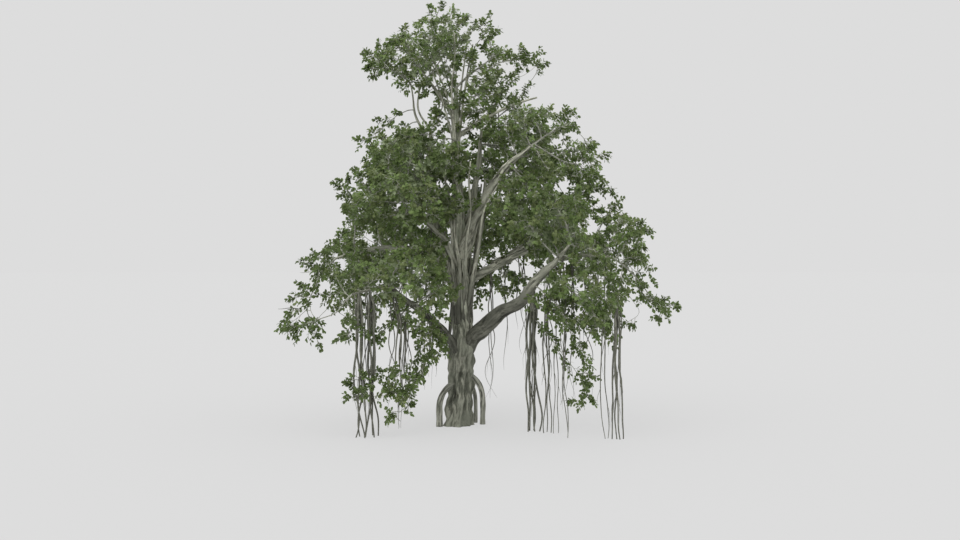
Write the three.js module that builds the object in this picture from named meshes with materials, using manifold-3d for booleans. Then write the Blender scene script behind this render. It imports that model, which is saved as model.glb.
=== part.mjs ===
// A banyan tree: a furrowed trunk on stilt roots, spreading boughs, a crown of leaf masses
// and the aerial roots that hang from it. Millimetres, +Z up. The origin is the middle of the
// flat cut where the trunk meets level ground, and nothing reaches below that ground.

import * as THREE from "three";
import { mergeVertices } from "three/addons/utils/BufferGeometryUtils.js";
import Module from "manifold-3d";

const wasm = await Module();
wasm.setup();

// ---------------------------------------------------------------- driving dimensions

const M = 1000; // millimetres in a metre: the sizes below are in metres
const TRUNK_TOP = 16.2; // where the trunk's own tip ends, inside the top of the crown
const TRUNK_SWAY = 0.17; // how far the trunk swings to either side of upright
const SWAY_WAVE = 20; // height of one full swing, the height of the tree
const TRUNK_BACK_LEAN = 0.2; // how far the trunk bows away from the front at mid height
const FLARE_LOBES = 6; // root buttresses round the foot
const FLARE_DEPTH = 0.14; // how far they stand out, as a share of the radius
const FLARE_HEIGHT = 0.8; // height over which they die away
const FURROWS = 6; // fused strands round the trunk
const FURROW_DEPTH = 0.055;
const FURROW_TWIST = 0.32; // radians of twist for each metre of height
const COLLAR_SWELL = 0.3; // how much a limb swells where it leaves its parent
const COLLAR_REACH = 3; // length over which the swelling dies away, in limb radii
const LIMB_TAPER = 1.2; // above 1, a limb thins fastest near its tip
const LIMB_WOBBLE = 0.4; // unevenness of a limb's line, as a share of its tip's radius
const WOBBLE_PITCHES = [5, 6, 7]; // radians of wobble along a limb, for x, y and z
const STILT_START = 0.3; // where a stilt root starts, from the trunk's line (0) to its foot (1)
const STILT_SHOULDER = 0.88; // how far out its shoulder is, as a share of the way to its foot
const STILT_FALL = 0.32; // how far the shoulder is below the start, for each metre outwards
const STILT_KNEE = 0.55; // height where it turns upright, as a share of the start's height
const ROOT_WAVE = 0.07; // how far a hanging root waves from plumb
const ROOT_WAVE_PITCHES = [0.9, 0.7]; // radians of wave for each metre of height, for x and y
const ROOT_TIP = 0.8; // a hanging root's thickness at its tip, as a share of that at its top
const JOINT_GAP = 0.5 / M; // clearance between neighbouring solids
const TRUNK_CLEARANCE = 0.06; // how far the leaf masses stay off the trunk
const LUMP_SHARE = 0.075; // height of one wave of lumps, as a share of a leaf mass
const LUMP_PITCHES = [2.2, 3.4, 4.6, 6.1]; // radians of each wave from a mass's middle to its rim
const UNDERSIDE = 0.78; // a leaf mass is flatter below than above

const TRUNK_SIDES = 24;
const TRUNK_SLEEVE_SIDES = 8; // a plainer trunk, which the leaf masses are cut round
const TRUNK_STEPS = 10;
const TRUNK_RING_CROWDING = 1.4; // above 1, the trunk's rings are closest near its foot
const LIMB_SIDES = 6;
const LIMB_STEPS = 5;
const ROOT_SIDES = 5;
const ROOT_STEPS = 3;

// Half the trunk's width at each height above the ground.
const TRUNK_GIRTH = [
  [0, 0.65],
  [0.9, 0.62],
  [2.0, 0.57],
  [2.7, 0.64],
  [3.6, 0.58],
  [5.2, 0.44],
  [6.4, 0.42],
  [8.4, 0.28],
  [9.6, 0.23],
  [13.8, 0.2],
  [15.0, 0.14],
  [TRUNK_TOP, 0.08],
];

// Each limb: its name, its parent, the height (on the trunk) or the share of the parent's length
// at which it leaves, its tip, how far its middle bows off the straight line, and its radius at
// both ends. x is to the right, y to the back, z up.
const LIMBS = [
  ["low_right_bough", "trunk", 3.95, [5.2, -3.2, 8.6], [0, 0, -0.25], [0.36, 0.13]],
  ["low_left_bough", "trunk", 3.5, [-3.1, -3.2, 6.75], [0, 0, 0.1], [0.22, 0.11]],
  ["mid_right_bough", "trunk", 6.7, [4.9, 1.4, 9.1], [0, 0, 0.15], [0.2, 0.1]],
  ["upper_right_bough", "trunk", 8.1, [3.4, -2.2, 13.1], [-0.3, -0.1, 0.5], [0.28, 0.12]],
  ["right_leader", "trunk", 8.2, [1.1, 1.9, 14.4], [0.15, 0.2, 0], [0.19, 0.1]],
  ["left_leader", "trunk", 6.4, [-1.45, 0.8, 14.2], [-0.5, 0.1, 0], [0.22, 0.09]],
  ["mid_left_bough", "trunk", 7.2, [-2.3, -1.5, 10.1], [0.25, 0, 0.3], [0.18, 0.09]],
  ["far_left_bough", "trunk", 7.5, [-5.9, -0.7, 7.9], [0, 0.3, 0.75], [0.2, 0.09]],
  ["back_left_bough", "trunk", 6.4, [-2.8, 3.1, 8.4], [0, 0, 0.2], [0.2, 0.1]],
  ["back_bough", "trunk", 5.6, [0.3, 3.9, 8.3], [0, 0, 0.1], [0.23, 0.11]],
  ["back_right_bough", "mid_right_bough", 0.35, [3.9, 3.3, 8.9], [0, 0.1, 0.1], [0.16, 0.09]],
  ["back_upper_bough", "trunk", 9.4, [-1.4, 2.5, 11.7], [0, 0, 0.1], [0.14, 0.08]],
  ["top_right_branch", "trunk", 13.7, [3.75, -1, 15.45], [0, 0, 0.28], [0.1, 0.035]],
  ["top_left_branch", "trunk", 14.6, [-1.9, 0, 17], [-0.05, 0, 0.1], [0.1, 0.05]],
  ["left_hanging_branch", "low_left_bough", 0.96, [-4.6, -4.1, 6.3], [0, 0, 0.06], [0.11, 0.08]],
  ["upper_left_branch", "left_leader", 0.9, [-2.3, 0.2, 16.3], [0, 0, -0.1], [0.07, 0.04]],
  ["far_right_branch", "low_right_bough", 0.84, [7, -2.6, 7.9], [0, 0, 0.25], [0.13, 0.06]],
  ["clasping_root", "left_leader", 0.12, [-0.5, -0.3, 3.9], [0.02, -0.2, 0], [0.1, 0.08]],
];

// Stilt roots leave the trunk at a height, arch out and come straight down on the ground.
const STILTS = [
  { name: "stilt_root_left", at: 2.0, foot: [-0.9, -0.5], thick: 0.14 },
  { name: "stilt_root_right", at: 2.5, foot: [1.12, 0.3], thick: 0.13 },
  { name: "stilt_root_back", at: 2.2, foot: [0.78, 0.85], thick: 0.095 },
];

// Hanging roots drop from a share of a limb's length, or from beside the middle of a leaf mass,
// down to end, the height of their lower tip.
const HANGING_ROOTS = [
  { name: "hanging_root_left_1", from: "left_hanging_branch", at: 0.82, end: 0, thick: 0.12 },
  { name: "hanging_root_left_2", from: "left_hanging_branch", at: 0.52, end: 0, thick: 0.13 },
  { name: "hanging_root_inner_1", from: "left_inner_mass", at: [-0.4, -0.5], end: 0.35, thick: 0.1 },
  { name: "hanging_root_inner_2", from: "left_inner_mass", at: [-0.15, -0.1], end: 0.9, thick: 0.08 },
  { name: "hanging_root_right_1", from: "low_right_bough", at: 0.62, end: 0, thick: 0.14 },
  { name: "hanging_root_right_2", from: "low_right_bough", at: 0.755, end: 0, thick: 0.09 },
  { name: "hanging_root_right_3", from: "low_right_bough", at: 0.83, end: 0, thick: 0.06 },
  { name: "hanging_root_right_4", from: "right_low_mass", at: [-0.95, -1], end: 0, thick: 0.06 },
  { name: "hanging_root_far_1", from: "right_low_mass", at: [0.7, -1.2], end: 0, thick: 0.065 },
  { name: "hanging_root_far_2", from: "right_low_mass", at: [1.25, -1.4], end: 0, thick: 0.11 },
  { name: "hanging_root_far_3", from: "right_low_mass", at: [1.5, -0.8], end: 0.4, thick: 0.055 },
];

// Leaf masses: the middle of each and its half size along x, y and z. fine masses have more
// facets. A mass with roots is cut round the hanging roots that run through it.
const MASSES = [
  { name: "top_mass", at: [-0.75, 0, 17.9], half: [1.5, 1.8, 1.8], fine: true },
  { name: "top_left_mass", at: [-2.45, -0.1, 17], half: [2.1, 1.9, 1.6], fine: true },
  { name: "top_right_mass", at: [1.1, 0.3, 17.6], half: [1.35, 1.7, 1.85] },
  { name: "top_right_tip_mass", at: [3.2, -0.2, 17.1], half: [0.85, 1, 0.85] },
  { name: "under_top_mass", at: [0.9, 0.6, 15.4], half: [2.2, 1.8, 1.4] },
  { name: "upper_left_mass", at: [-2.2, -0.9, 12.4], half: [2.5, 2.8, 1.7], fine: true },
  { name: "upper_right_mass", at: [3.3, -0.8, 13.9], half: [2.1, 2.2, 1.1], fine: true },
  { name: "right_shoulder_mass", at: [5.1, 0, 11.75], half: [1.75, 2.4, 1.75] },
  { name: "mid_left_mass", at: [-2.85, -1.6, 10.4], half: [2.85, 3.3, 1.7], fine: true },
  { name: "mid_right_mass", at: [3.55, -1.6, 9.95], half: [2.2, 3.1, 2.35], fine: true },
  { name: "far_right_mass", at: [7.2, -0.8, 8.45], half: [1.6, 2.4, 1.85], fine: true },
  { name: "far_right_tip_mass", at: [8.8, -2.2, 5.9], half: [1.05, 1.5, 1.05] },
  { name: "right_low_mass", at: [5.7, -3, 6.3], half: [2.05, 2.3, 2.2], fine: true },
  { name: "left_low_mass", at: [-5.3, -1.5, 7.05], half: [1.75, 2.6, 1.5], fine: true },
  { name: "far_left_mass", at: [-7.05, -2.1, 5.05], half: [1.15, 1.4, 1.05] },
  { name: "left_inner_mass", at: [-2.2, -2.9, 6.7], half: [1.9, 2.1, 2.05], fine: true },
  { name: "left_skirt_mass", at: [-4.9, -3.4, 5.1], half: [0.75, 1.1, 1], roots: true },
  { name: "hanging_mass_inner", at: [-2.8, -3.6, 1.8], half: [0.9, 1, 1.45], roots: true },
  { name: "hanging_mass_left", at: [-4.4, -4.1, 2.05], half: [0.88, 0.9, 0.88], roots: true },
  { name: "hanging_mass_near_trunk", at: [-1.25, -2, 4], half: [0.85, 0.85, 1.65] },
  { name: "weeping_mass_right", at: [5.42, -3.6, 2.65], half: [0.52, 0.6, 1.65] },
  { name: "behind_trunk_mass", at: [2.1, 1.3, 7.2], half: [1.5, 1.05, 1.15] },
  { name: "back_left_mass", at: [-4, 4, 8.8], half: [2.8, 2.7, 2] },
  { name: "back_mass", at: [0.2, 5, 9.3], half: [2.5, 2.5, 2.3], fine: true },
  { name: "back_right_mass", at: [4.8, 4, 9.3], half: [2.7, 2.7, 2] },
  { name: "back_upper_left_mass", at: [-2.3, 3.2, 12.4], half: [2.4, 2.2, 1.75] },
  { name: "back_upper_right_mass", at: [2.4, 3.2, 12.7], half: [2.4, 2.2, 1.8] },
];

const BARK = { color: 0x6a6a5a, roughness: 0.9, metalness: 0 };
const ROOT_BARK = { color: 0x5f5c50, roughness: 0.9, metalness: 0 };
const LEAVES = { color: 0x4c563b, roughness: 0.75, metalness: 0 };

// ---------------------------------------------------------------- solids

// A seeded sequence of numbers from 0 to 1 (mulberry32).
function randomFrom(seed) {
  let state = seed >>> 0;
  return () => {
    state = (state + 0x6d2b79f5) >>> 0;
    let mixed = Math.imul(state ^ (state >>> 15), 1 | state);
    mixed = (mixed + Math.imul(mixed ^ (mixed >>> 7), 61 | mixed)) ^ mixed;
    return ((mixed ^ (mixed >>> 14)) >>> 0) / 2 ** 32;
  };
}

// A seed worked out from a name, so that each piece keeps its shape when others change.
function seedOf(name) {
  return [...name].reduce((sum, letter) => sum * 31 + letter.charCodeAt(0), 7) % 2 ** 31;
}

// A closed geometry, in metres, as a solid in millimetres.
function solidFrom(geometry) {
  geometry.deleteAttribute("normal");
  geometry.deleteAttribute("uv");
  const merged = mergeVertices(geometry.scale(M, M, M), 1e-3);
  return new wasm.Manifold(
    new wasm.Mesh({
      numProp: 3,
      vertProperties: merged.attributes.position.array,
      triVerts: new Uint32Array(merged.index.array),
    }),
  );
}

// Moves every vertex of a geometry to where place(vertex) puts it.
function reshape(geometry, place) {
  const positions = geometry.attributes.position;
  const vertex = new THREE.Vector3();
  for (let i = 0; i < positions.count; i++) {
    place(vertex.fromBufferAttribute(positions, i));
    positions.setXYZ(i, vertex.x, vertex.y, vertex.z);
  }
  return geometry;
}

// A unit cylinder whose rings are laid one after another by ring(share, across, along):
// share runs from 0 at the foot to 1 at the tip, across and along are the vertex in its ring.
function ringSolid(sides, steps, ring) {
  const cylinder = new THREE.CylinderGeometry(1, 1, 1, sides, steps);
  return solidFrom(
    reshape(cylinder, (v) => v.copy(ring(Math.round((v.y + 0.5) * steps) / steps, v.z, v.x))),
  );
}

// Which end of a limb a share is: -1 at the foot, 1 at the tip, 0 between.
function endOf(share) {
  return Number(share === 1) - Number(share === 0);
}

function largestBody(solid) {
  return solid.decompose().reduce((most, body) => (body.volume() > most.volume() ? body : most));
}

function cutBy(solid, cutters) {
  return cutters.reduce((left, cutter) => left.subtract(cutter), solid);
}

// ---------------------------------------------------------------- trunk

function trunkLine(height) {
  return new THREE.Vector3(
    TRUNK_SWAY * Math.sin((2 * Math.PI * height) / SWAY_WAVE),
    TRUNK_BACK_LEAN * Math.sin((Math.PI * height) / SWAY_WAVE),
    height,
  );
}

function trunkRadius(height) {
  const upper = TRUNK_GIRTH.findIndex(([level]) => level >= height && level > 0);
  const [low, thick] = TRUNK_GIRTH[upper - 1];
  const [high, thin] = TRUNK_GIRTH[upper];
  return THREE.MathUtils.mapLinear(height, low, high, thick, thin);
}

// Level rings up the trunk, closer together near the foot, with buttresses and furrows.
function trunkSolid(sides, extra) {
  return ringSolid(sides, TRUNK_STEPS, (share, across, along) => {
    const height = TRUNK_TOP * share ** TRUNK_RING_CROWDING;
    const angle = Math.atan2(along, across);
    const flare = FLARE_DEPTH * Math.exp(-height / FLARE_HEIGHT) * Math.cos(FLARE_LOBES * angle);
    const furrow = FURROW_DEPTH * Math.cos(FURROWS * angle + FURROW_TWIST * height * FURROWS);
    const inside = Math.hypot(across, along) > 0.5 ? 1 : 0;
    const radius = inside * (trunkRadius(height) * (1 + flare + furrow) + extra);
    return trunkLine(height).add(
      new THREE.Vector3(radius * Math.cos(angle), radius * Math.sin(angle), extra * endOf(share)),
    );
  });
}

// ---------------------------------------------------------------- limbs

// A tapering limb along a curve. wobble(share) moves its line sideways, and extra widens and
// lengthens it for cutting its neighbours.
function limbSolid(curve, radiusAt, wobble, extra) {
  const frames = curve.computeFrenetFrames(LIMB_STEPS);
  return ringSolid(LIMB_SIDES, LIMB_STEPS, (share, across, along) => {
    const index = Math.round(share * LIMB_STEPS);
    const radius = radiusAt(share) + extra;
    return curve
      .getPointAt(share)
      .add(wobble(share))
      .addScaledVector(frames.normals[index], across * radius)
      .addScaledVector(frames.binormals[index], along * radius)
      .addScaledVector(frames.tangents[index], extra * endOf(share));
  });
}

// A smooth random line that starts at nothing and wanders about as far as size.
function wanderLine(seed, size) {
  const random = randomFrom(seed);
  const phases = WOBBLE_PITCHES.map((pitch) => [pitch, 2 * Math.PI * random()]);
  return (share) => {
    const sway = phases.map(([pitch, phase]) => Math.sin(pitch * share + phase) - Math.sin(phase));
    return new THREE.Vector3(...sway).multiplyScalar(size * share);
  };
}

function bowedCurve(start, tip, bow) {
  const control = start.clone().lerp(tip, 0.5).addScaledVector(bow, 2);
  return new THREE.QuadraticBezierCurve3(start, control, tip);
}

// Every limb with its curve and a function that makes its solid.
function planLimbs() {
  const planned = new Map();
  for (const [name, from, at, tip, bow, [thick, thin]] of LIMBS) {
    const parent = planned.get(from);
    const start = parent ? parent.curve.getPointAt(at) : trunkLine(at);
    const curve = bowedCurve(start, new THREE.Vector3(...tip), new THREE.Vector3(...bow));
    const length = curve.getLength();
    const radiusAt = (share) =>
      THREE.MathUtils.lerp(thick, thin, share ** LIMB_TAPER) +
      COLLAR_SWELL * thick * Math.exp((-share * length) / (COLLAR_REACH * thick));
    const wobble = wanderLine(seedOf(name), LIMB_WOBBLE * thin);
    const solid = (extra) => limbSolid(curve, radiusAt, wobble, extra);
    planned.set(name, { name, curve, solid });
  }
  return [...planned.values()];
}

// A stilt root leaves the trunk's side, arches over and stands upright on the ground.
function planStilt({ name, at, foot, thick }) {
  const [x, y] = foot;
  const curve = new THREE.CatmullRomCurve3([
    trunkLine(at).lerp(new THREE.Vector3(x, y, at), STILT_START),
    new THREE.Vector3(STILT_SHOULDER * x, STILT_SHOULDER * y, at - STILT_FALL * Math.hypot(x, y)),
    new THREE.Vector3(x, y, STILT_KNEE * at),
    new THREE.Vector3(x, y, -thick),
  ]);
  const still = () => new THREE.Vector3();
  const solid = (extra) =>
    limbSolid(curve, () => thick, still, extra).trimByPlane([0, 0, 1], 0);
  return { name, curve, solid };
}

// Where a hanging root starts: inside the limb or the leaf mass that it hangs from.
function rootTop({ from, at }, limbs) {
  const limb = limbs.find(({ name }) => name === from);
  if (limb) return limb.curve.getPointAt(at);
  const mass = MASSES.find(({ name }) => name === from);
  return new THREE.Vector3(...mass.at).add(new THREE.Vector3(...at, 0));
}

// A hanging root drops from its top almost plumb, thinning a little, and ends flat.
function hangingRootSolid({ name, end, thick }, top, extra) {
  const random = randomFrom(seedOf(name));
  const phases = ROOT_WAVE_PITCHES.map((pitch) => [pitch, 2 * Math.PI * random()]);
  return ringSolid(ROOT_SIDES, ROOT_STEPS, (share, across, along) => {
    const height = THREE.MathUtils.lerp(end, top.z, share);
    const radius = thick * THREE.MathUtils.lerp(ROOT_TIP, 1, share) + extra;
    const wave = phases.map(([pitch, phase]) => Math.sin(pitch * height + phase));
    return new THREE.Vector3(top.x + radius * across, top.y + radius * along, height).addScaledVector(
      new THREE.Vector3(...wave, 0),
      ROOT_WAVE * (1 - share),
    );
  });
}

// ---------------------------------------------------------------- leaf masses

// An uneven closed mass: a faceted ball stretched to its half sizes, with waves of lumps.
function massSolid({ name, at, half, fine }, extra) {
  const random = randomFrom(seedOf(name));
  const waves = LUMP_PITCHES.map((pitch) => ({
    axis: new THREE.Vector3().setFromSphericalCoords(1, Math.PI * random(), 2 * Math.PI * random()),
    pitch,
    phase: 2 * Math.PI * random(),
  }));
  const middle = new THREE.Vector3(...at);
  const stretch = new THREE.Vector3(...half).addScalar(extra);
  return solidFrom(
    reshape(new THREE.IcosahedronGeometry(1, fine ? 2 : 1), (v) => {
      const lumps = waves.reduce(
        (sum, wave) => sum + Math.sin(wave.pitch * v.dot(wave.axis) + wave.phase),
        0,
      );
      v.multiplyScalar(1 + LUMP_SHARE * lumps);
      v.z *= v.z < 0 ? UNDERSIDE : 1;
      v.multiply(stretch).add(middle);
    }),
  );
}

// How far a mass reaches from its middle along a direction.
function reach(half, direction) {
  return 1 / Math.hypot(direction.x / half[0], direction.y / half[1], direction.z / half[2]);
}

// Parts every two masses that meet by a plane between their middles.
function partMasses(masses) {
  masses.forEach((one, i) =>
    masses.slice(i + 1).forEach((other) => {
      if (one.solid.intersect(other.solid).volume() <= 0) return;
      const start = new THREE.Vector3(...one.at);
      const step = new THREE.Vector3(...other.at).sub(start);
      const direction = step.clone().normalize();
      const [near, far] = [reach(one.half, direction), reach(other.half, direction)];
      const normal = new THREE.Vector3(
        step.x / (one.half[0] * other.half[0]),
        step.y / (one.half[1] * other.half[1]),
        step.z / (one.half[2] * other.half[2]),
      ).normalize();
      const offset = start.addScaledVector(step, near / (near + far)).dot(normal) * M;
      const gap = (JOINT_GAP * M) / 2;
      const away = normal.clone().negate();
      one.solid = one.solid.trimByPlane([away.x, away.y, away.z], gap - offset);
      other.solid = other.solid.trimByPlane([normal.x, normal.y, normal.z], offset + gap);
    }),
  );
}

// ---------------------------------------------------------------- assembly

const tree = new THREE.Group();

function addNode(name, solid, finish) {
  const { vertProperties, triVerts } = largestBody(solid).getMesh();
  const geometry = new THREE.BufferGeometry();
  geometry.setAttribute("position", new THREE.BufferAttribute(vertProperties, 3));
  geometry.setIndex(new THREE.BufferAttribute(triVerts, 1));
  geometry.computeVertexNormals();
  const mesh = new THREE.Mesh(geometry, new THREE.MeshStandardMaterial(finish));
  mesh.name = name;
  tree.add(mesh);
}

const limbs = [...planLimbs(), ...STILTS.map(planStilt)];
const roots = HANGING_ROOTS.map((root) => ({ ...root, top: rootTop(root, limbs) }));
const hangingCutters = roots.map((root) => hangingRootSolid(root, root.top, JOINT_GAP));
const masses = MASSES.map((mass) => ({ ...mass, solid: massSolid(mass, 0) }));

// The trunk stays whole, and each limb gives way to the trunk and to the limbs before it.
addNode("trunk", trunkSolid(TRUNK_SIDES, 0), BARK);
const trunkCutter = trunkSolid(TRUNK_SIDES, JOINT_GAP);
const limbCutters = [];
for (const limb of limbs) {
  addNode(limb.name, cutBy(limb.solid(0), [trunkCutter, ...limbCutters]), BARK);
  limbCutters.push(limb.solid(JOINT_GAP));
}

// Masses part from each other and open round the wood that runs into them.
const woodCutters = [trunkSolid(TRUNK_SLEEVE_SIDES, TRUNK_CLEARANCE), ...limbCutters];
partMasses(masses);
for (const mass of masses) {
  const cutters = mass.roots ? [...woodCutters, ...hangingCutters] : woodCutters;
  addNode(mass.name, cutBy(mass.solid, cutters), LEAVES);
}

// Hanging roots start where they leave the underside of a limb or of the crown.
const crownCutters = MASSES.filter((mass) => !mass.roots).map((mass) => massSolid(mass, JOINT_GAP));
for (const root of roots) {
  const whole = hangingRootSolid(root, root.top, 0);
  addNode(root.name, cutBy(whole, [...woodCutters, ...crownCutters]), ROOT_BARK);
}

export default tree;
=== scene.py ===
"""A banyan tree, dressed in bark and grown out into branches, twigs, leaves and aerial roots.

The wood starts from the middle lines of the model's own limbs. The crown grows on from them by a
seeded branching rule that fills the model's leaf masses. Everything is in metres, with the origin
where the trunk stands on level ground.
"""

import logging
import math
from dataclasses import dataclass, field
from enum import Enum

import bpy
import numpy as np
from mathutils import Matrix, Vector
from mathutils.bvhtree import BVHTree


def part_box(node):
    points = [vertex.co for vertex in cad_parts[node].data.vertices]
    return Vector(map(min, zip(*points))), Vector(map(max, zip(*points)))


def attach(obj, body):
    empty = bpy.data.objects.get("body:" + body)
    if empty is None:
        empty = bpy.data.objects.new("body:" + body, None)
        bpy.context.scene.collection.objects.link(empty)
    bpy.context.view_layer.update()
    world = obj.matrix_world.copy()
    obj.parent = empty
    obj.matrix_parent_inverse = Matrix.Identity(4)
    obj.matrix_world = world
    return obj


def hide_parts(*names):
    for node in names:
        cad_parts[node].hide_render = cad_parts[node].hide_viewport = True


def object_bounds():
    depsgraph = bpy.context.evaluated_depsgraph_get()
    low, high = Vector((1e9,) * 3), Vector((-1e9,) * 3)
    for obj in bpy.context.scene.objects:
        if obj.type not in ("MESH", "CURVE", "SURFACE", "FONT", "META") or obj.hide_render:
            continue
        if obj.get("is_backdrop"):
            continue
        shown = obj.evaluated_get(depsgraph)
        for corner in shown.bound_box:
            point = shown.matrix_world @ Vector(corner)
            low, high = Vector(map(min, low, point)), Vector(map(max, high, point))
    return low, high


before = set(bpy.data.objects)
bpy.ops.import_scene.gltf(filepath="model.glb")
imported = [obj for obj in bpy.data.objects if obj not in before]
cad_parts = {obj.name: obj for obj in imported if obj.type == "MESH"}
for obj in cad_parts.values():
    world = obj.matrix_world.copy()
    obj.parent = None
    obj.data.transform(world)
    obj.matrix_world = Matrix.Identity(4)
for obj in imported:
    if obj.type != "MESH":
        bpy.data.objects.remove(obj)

LOG = logging.getLogger("banyan")
SEED = 1907
GROWTH_SEED = 2311
UP = np.array([0.0, 0.0, 1.0])
GOLDEN_ANGLE = math.pi * (3 - math.sqrt(5))
HOUR = math.pi / 6
LOWEST = 0.01  # how far twigs and leaves stay above the ground
WHITE = (1, 1, 1, 1)
ODD_AXIS = np.array([0.31, 0.87, 0.39])
BALL_VOLUME = 4.2  # of a ball of radius 1

STILTS = ("stilt_root_left", "stilt_root_right", "stilt_root_back")
BARE_LIMBS = ("top_right_branch", "clasping_root")
SPROUTING_MASSES = ("hanging_mass_left", "hanging_mass_inner")
ELBOWS = {
    "low_right_bough": (0.5, 0.13, (0, 0, -0.22)),
    "upper_left_branch": (0.5, 0.25, (-0.18, 0, 0)),
}
TWINS = {"upper_left_branch": 0.36}
BARE_SHOOTS = ((-1, 5.7, 0.9), (-1, 6.95, 0.8))
EYE = np.array([1.0, -52.5, 7.38])


# ---------------------------------------------------------------- arithmetic


def unit(vectors: np.ndarray) -> np.ndarray:
    """Vectors of the same directions and of length one."""
    lengths = np.linalg.norm(vectors, axis=-1, keepdims=True)
    return vectors / np.maximum(lengths, 1e-9)


def ring_angles(sides: int) -> np.ndarray:
    """Even angles once round a ring, from 0."""
    return np.linspace(0, 2 * math.pi, sides, endpoint=False)


def crosswise(directions: np.ndarray) -> np.ndarray:
    """A direction square to each one, and to the same odd axis."""
    return unit(np.cross(directions, ODD_AXIS))


def flattened(directions: np.ndarray, axes: np.ndarray) -> np.ndarray:
    """The directions laid flat, square to their axes."""
    return unit(directions - (directions * axes).sum(axis=-1, keepdims=True) * axes)


def turned(angles: np.ndarray, across: np.ndarray, beside: np.ndarray) -> np.ndarray:
    """Directions at angles that turn from one direction to the other at a right angle to it."""
    return np.cos(angles)[..., None] * across + np.sin(angles)[..., None] * beside


def smoothed(values: np.ndarray, passes: int) -> np.ndarray:
    """Rows of values with each inner row drawn halfway to the mean of its neighbours, some times.

    Args:
        values: rows of numbers.
        passes: how many times.

    Returns:
        The smoothed rows, the first and last as they were.
    """
    values = values.copy()
    for _ in range(passes):
        values[1:-1] = 0.5 * values[1:-1] + 0.25 * (values[:-2] + values[2:])
    return values


class Noise:
    """Seeded gradient noise: smooth random values, about -1 to 1, over space."""

    PERIOD = 256
    GAIN = 1.6
    LANES = ((7.31, 0.5), (3.17, 0.25))

    def __init__(self, seed: int) -> None:
        """Draws a random slope for each of the lattice's corners.

        Args:
            seed: what the slopes are drawn from.
        """
        rng = np.random.default_rng(seed)
        self.order = np.tile(rng.permutation(self.PERIOD), 3)
        self.slopes = unit(rng.normal(size=(self.PERIOD, 3)))

    def at(self, points: np.ndarray) -> np.ndarray:
        """The value at each point.

        Each corner of the unit cube round a point gives the height of its own slope there, and the
        eight are blended by a curve that is level at both ends.

        Args:
            points: places in units of the noise's own waves, shape (..., 3).

        Returns:
            One value a point.
        """
        cells = np.floor(points).astype(int)
        within = points - cells
        cells %= self.PERIOD
        fade = within**3 * (within * (within * 6 - 15) + 10)
        total = np.zeros(points.shape[:-1])
        for corner in np.ndindex(2, 2, 2):
            key = self.order[cells[..., 0] + corner[0]]
            key = self.order[key + cells[..., 1] + corner[1]]
            key = self.order[key + cells[..., 2] + corner[2]]
            weight = np.prod(np.where(corner, fade, 1 - fade), axis=-1)
            total += weight * ((within - corner) * self.slopes[key]).sum(axis=-1)
        return total * self.GAIN

    def along(self, distances: np.ndarray, lane: float) -> np.ndarray:
        """The value at distances along one line of the noise, a line for each lane number."""
        aside = [gap * np.full_like(distances, lane) + start for gap, start in self.LANES]
        return self.at(np.stack([distances, *aside], axis=-1))


def own_noise(number: int) -> Noise:
    """A dataclass field that holds noise of its own."""
    return field(default_factory=lambda: Noise(SEED + number))


def own_draws(seed: int) -> np.random.Generator:
    """A dataclass field that holds random draws of its own."""
    return field(default_factory=lambda: np.random.default_rng(seed))


# ---------------------------------------------------------------- reading the model


@dataclass
class Spine:
    """The middle line of a limb, foot first, with its radius at each point."""

    points: np.ndarray
    radii: np.ndarray

    def distances(self) -> np.ndarray:
        """How far along the line each point is."""
        gaps = np.linalg.norm(np.diff(self.points, axis=0), axis=1)
        return np.concatenate([[0.0], np.cumsum(gaps)])

    def length(self) -> float:
        """The line's whole length."""
        return float(self.distances()[-1])

    def read(self, marks: np.ndarray, places: np.ndarray) -> "Spine":
        """The line's points and radii, read off a scale by straight lines between its marks.

        Args:
            marks: a number at each point, rising from the foot.
            places: numbers on the same scale.

        Returns:
            A line of what is read at the places.
        """
        points = [np.interp(places, marks, self.points[:, axis]) for axis in range(3)]
        return Spine(np.stack(points, axis=1), np.interp(places, marks, self.radii))

    def at(self, places: np.ndarray) -> "Spine":
        """The line at distances along it."""
        return self.read(self.distances(), places)

    def at_heights(self, heights: np.ndarray) -> "Spine":
        """An upright line at heights."""
        return self.read(self.points[:, 2], heights)

    def resampled(self, step: float, passes: int = 0) -> "Spine":
        """The line with even points, its corners rounded by some smoothing.

        Args:
            step: about how far apart the points are.
            passes: how often they are smoothed.

        Returns:
            The new line.
        """
        count = max(4, round(self.length() / step) + 1)
        even = self.at(np.linspace(0, self.length(), count))
        return Spine(smoothed(even.points, passes), smoothed(even.radii, passes))

    def slopes(self) -> np.ndarray:
        """The line's direction at each point."""
        return unit(np.gradient(self.points, axis=0))

    def frames(self) -> tuple[np.ndarray, np.ndarray]:
        """Two directions across the line at each point, at right angles to it and to each other.

        The first is square to the line and to the axis that the line runs along least.

        Returns:
            The two arrays of directions, in the order that turns with the line's own direction.
        """
        slopes = self.slopes()
        least = np.argmin(np.abs(self.points[-1] - self.points[0]))
        across = unit(np.cross(slopes, np.eye(3)[least]))
        return across, np.cross(slopes, across)

    def tube(self, angles: np.ndarray, radii: np.ndarray) -> np.ndarray:
        """Places round the line.

        Args:
            angles: angle round it, shape (1, sides).
            radii: distance from it, shape (points, sides).

        Returns:
            The places, shape (points, sides, 3).
        """
        across, beside = self.frames()
        outward = turned(angles, across[:, None], beside[:, None])
        return self.points[:, None] + radii[..., None] * outward


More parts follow.
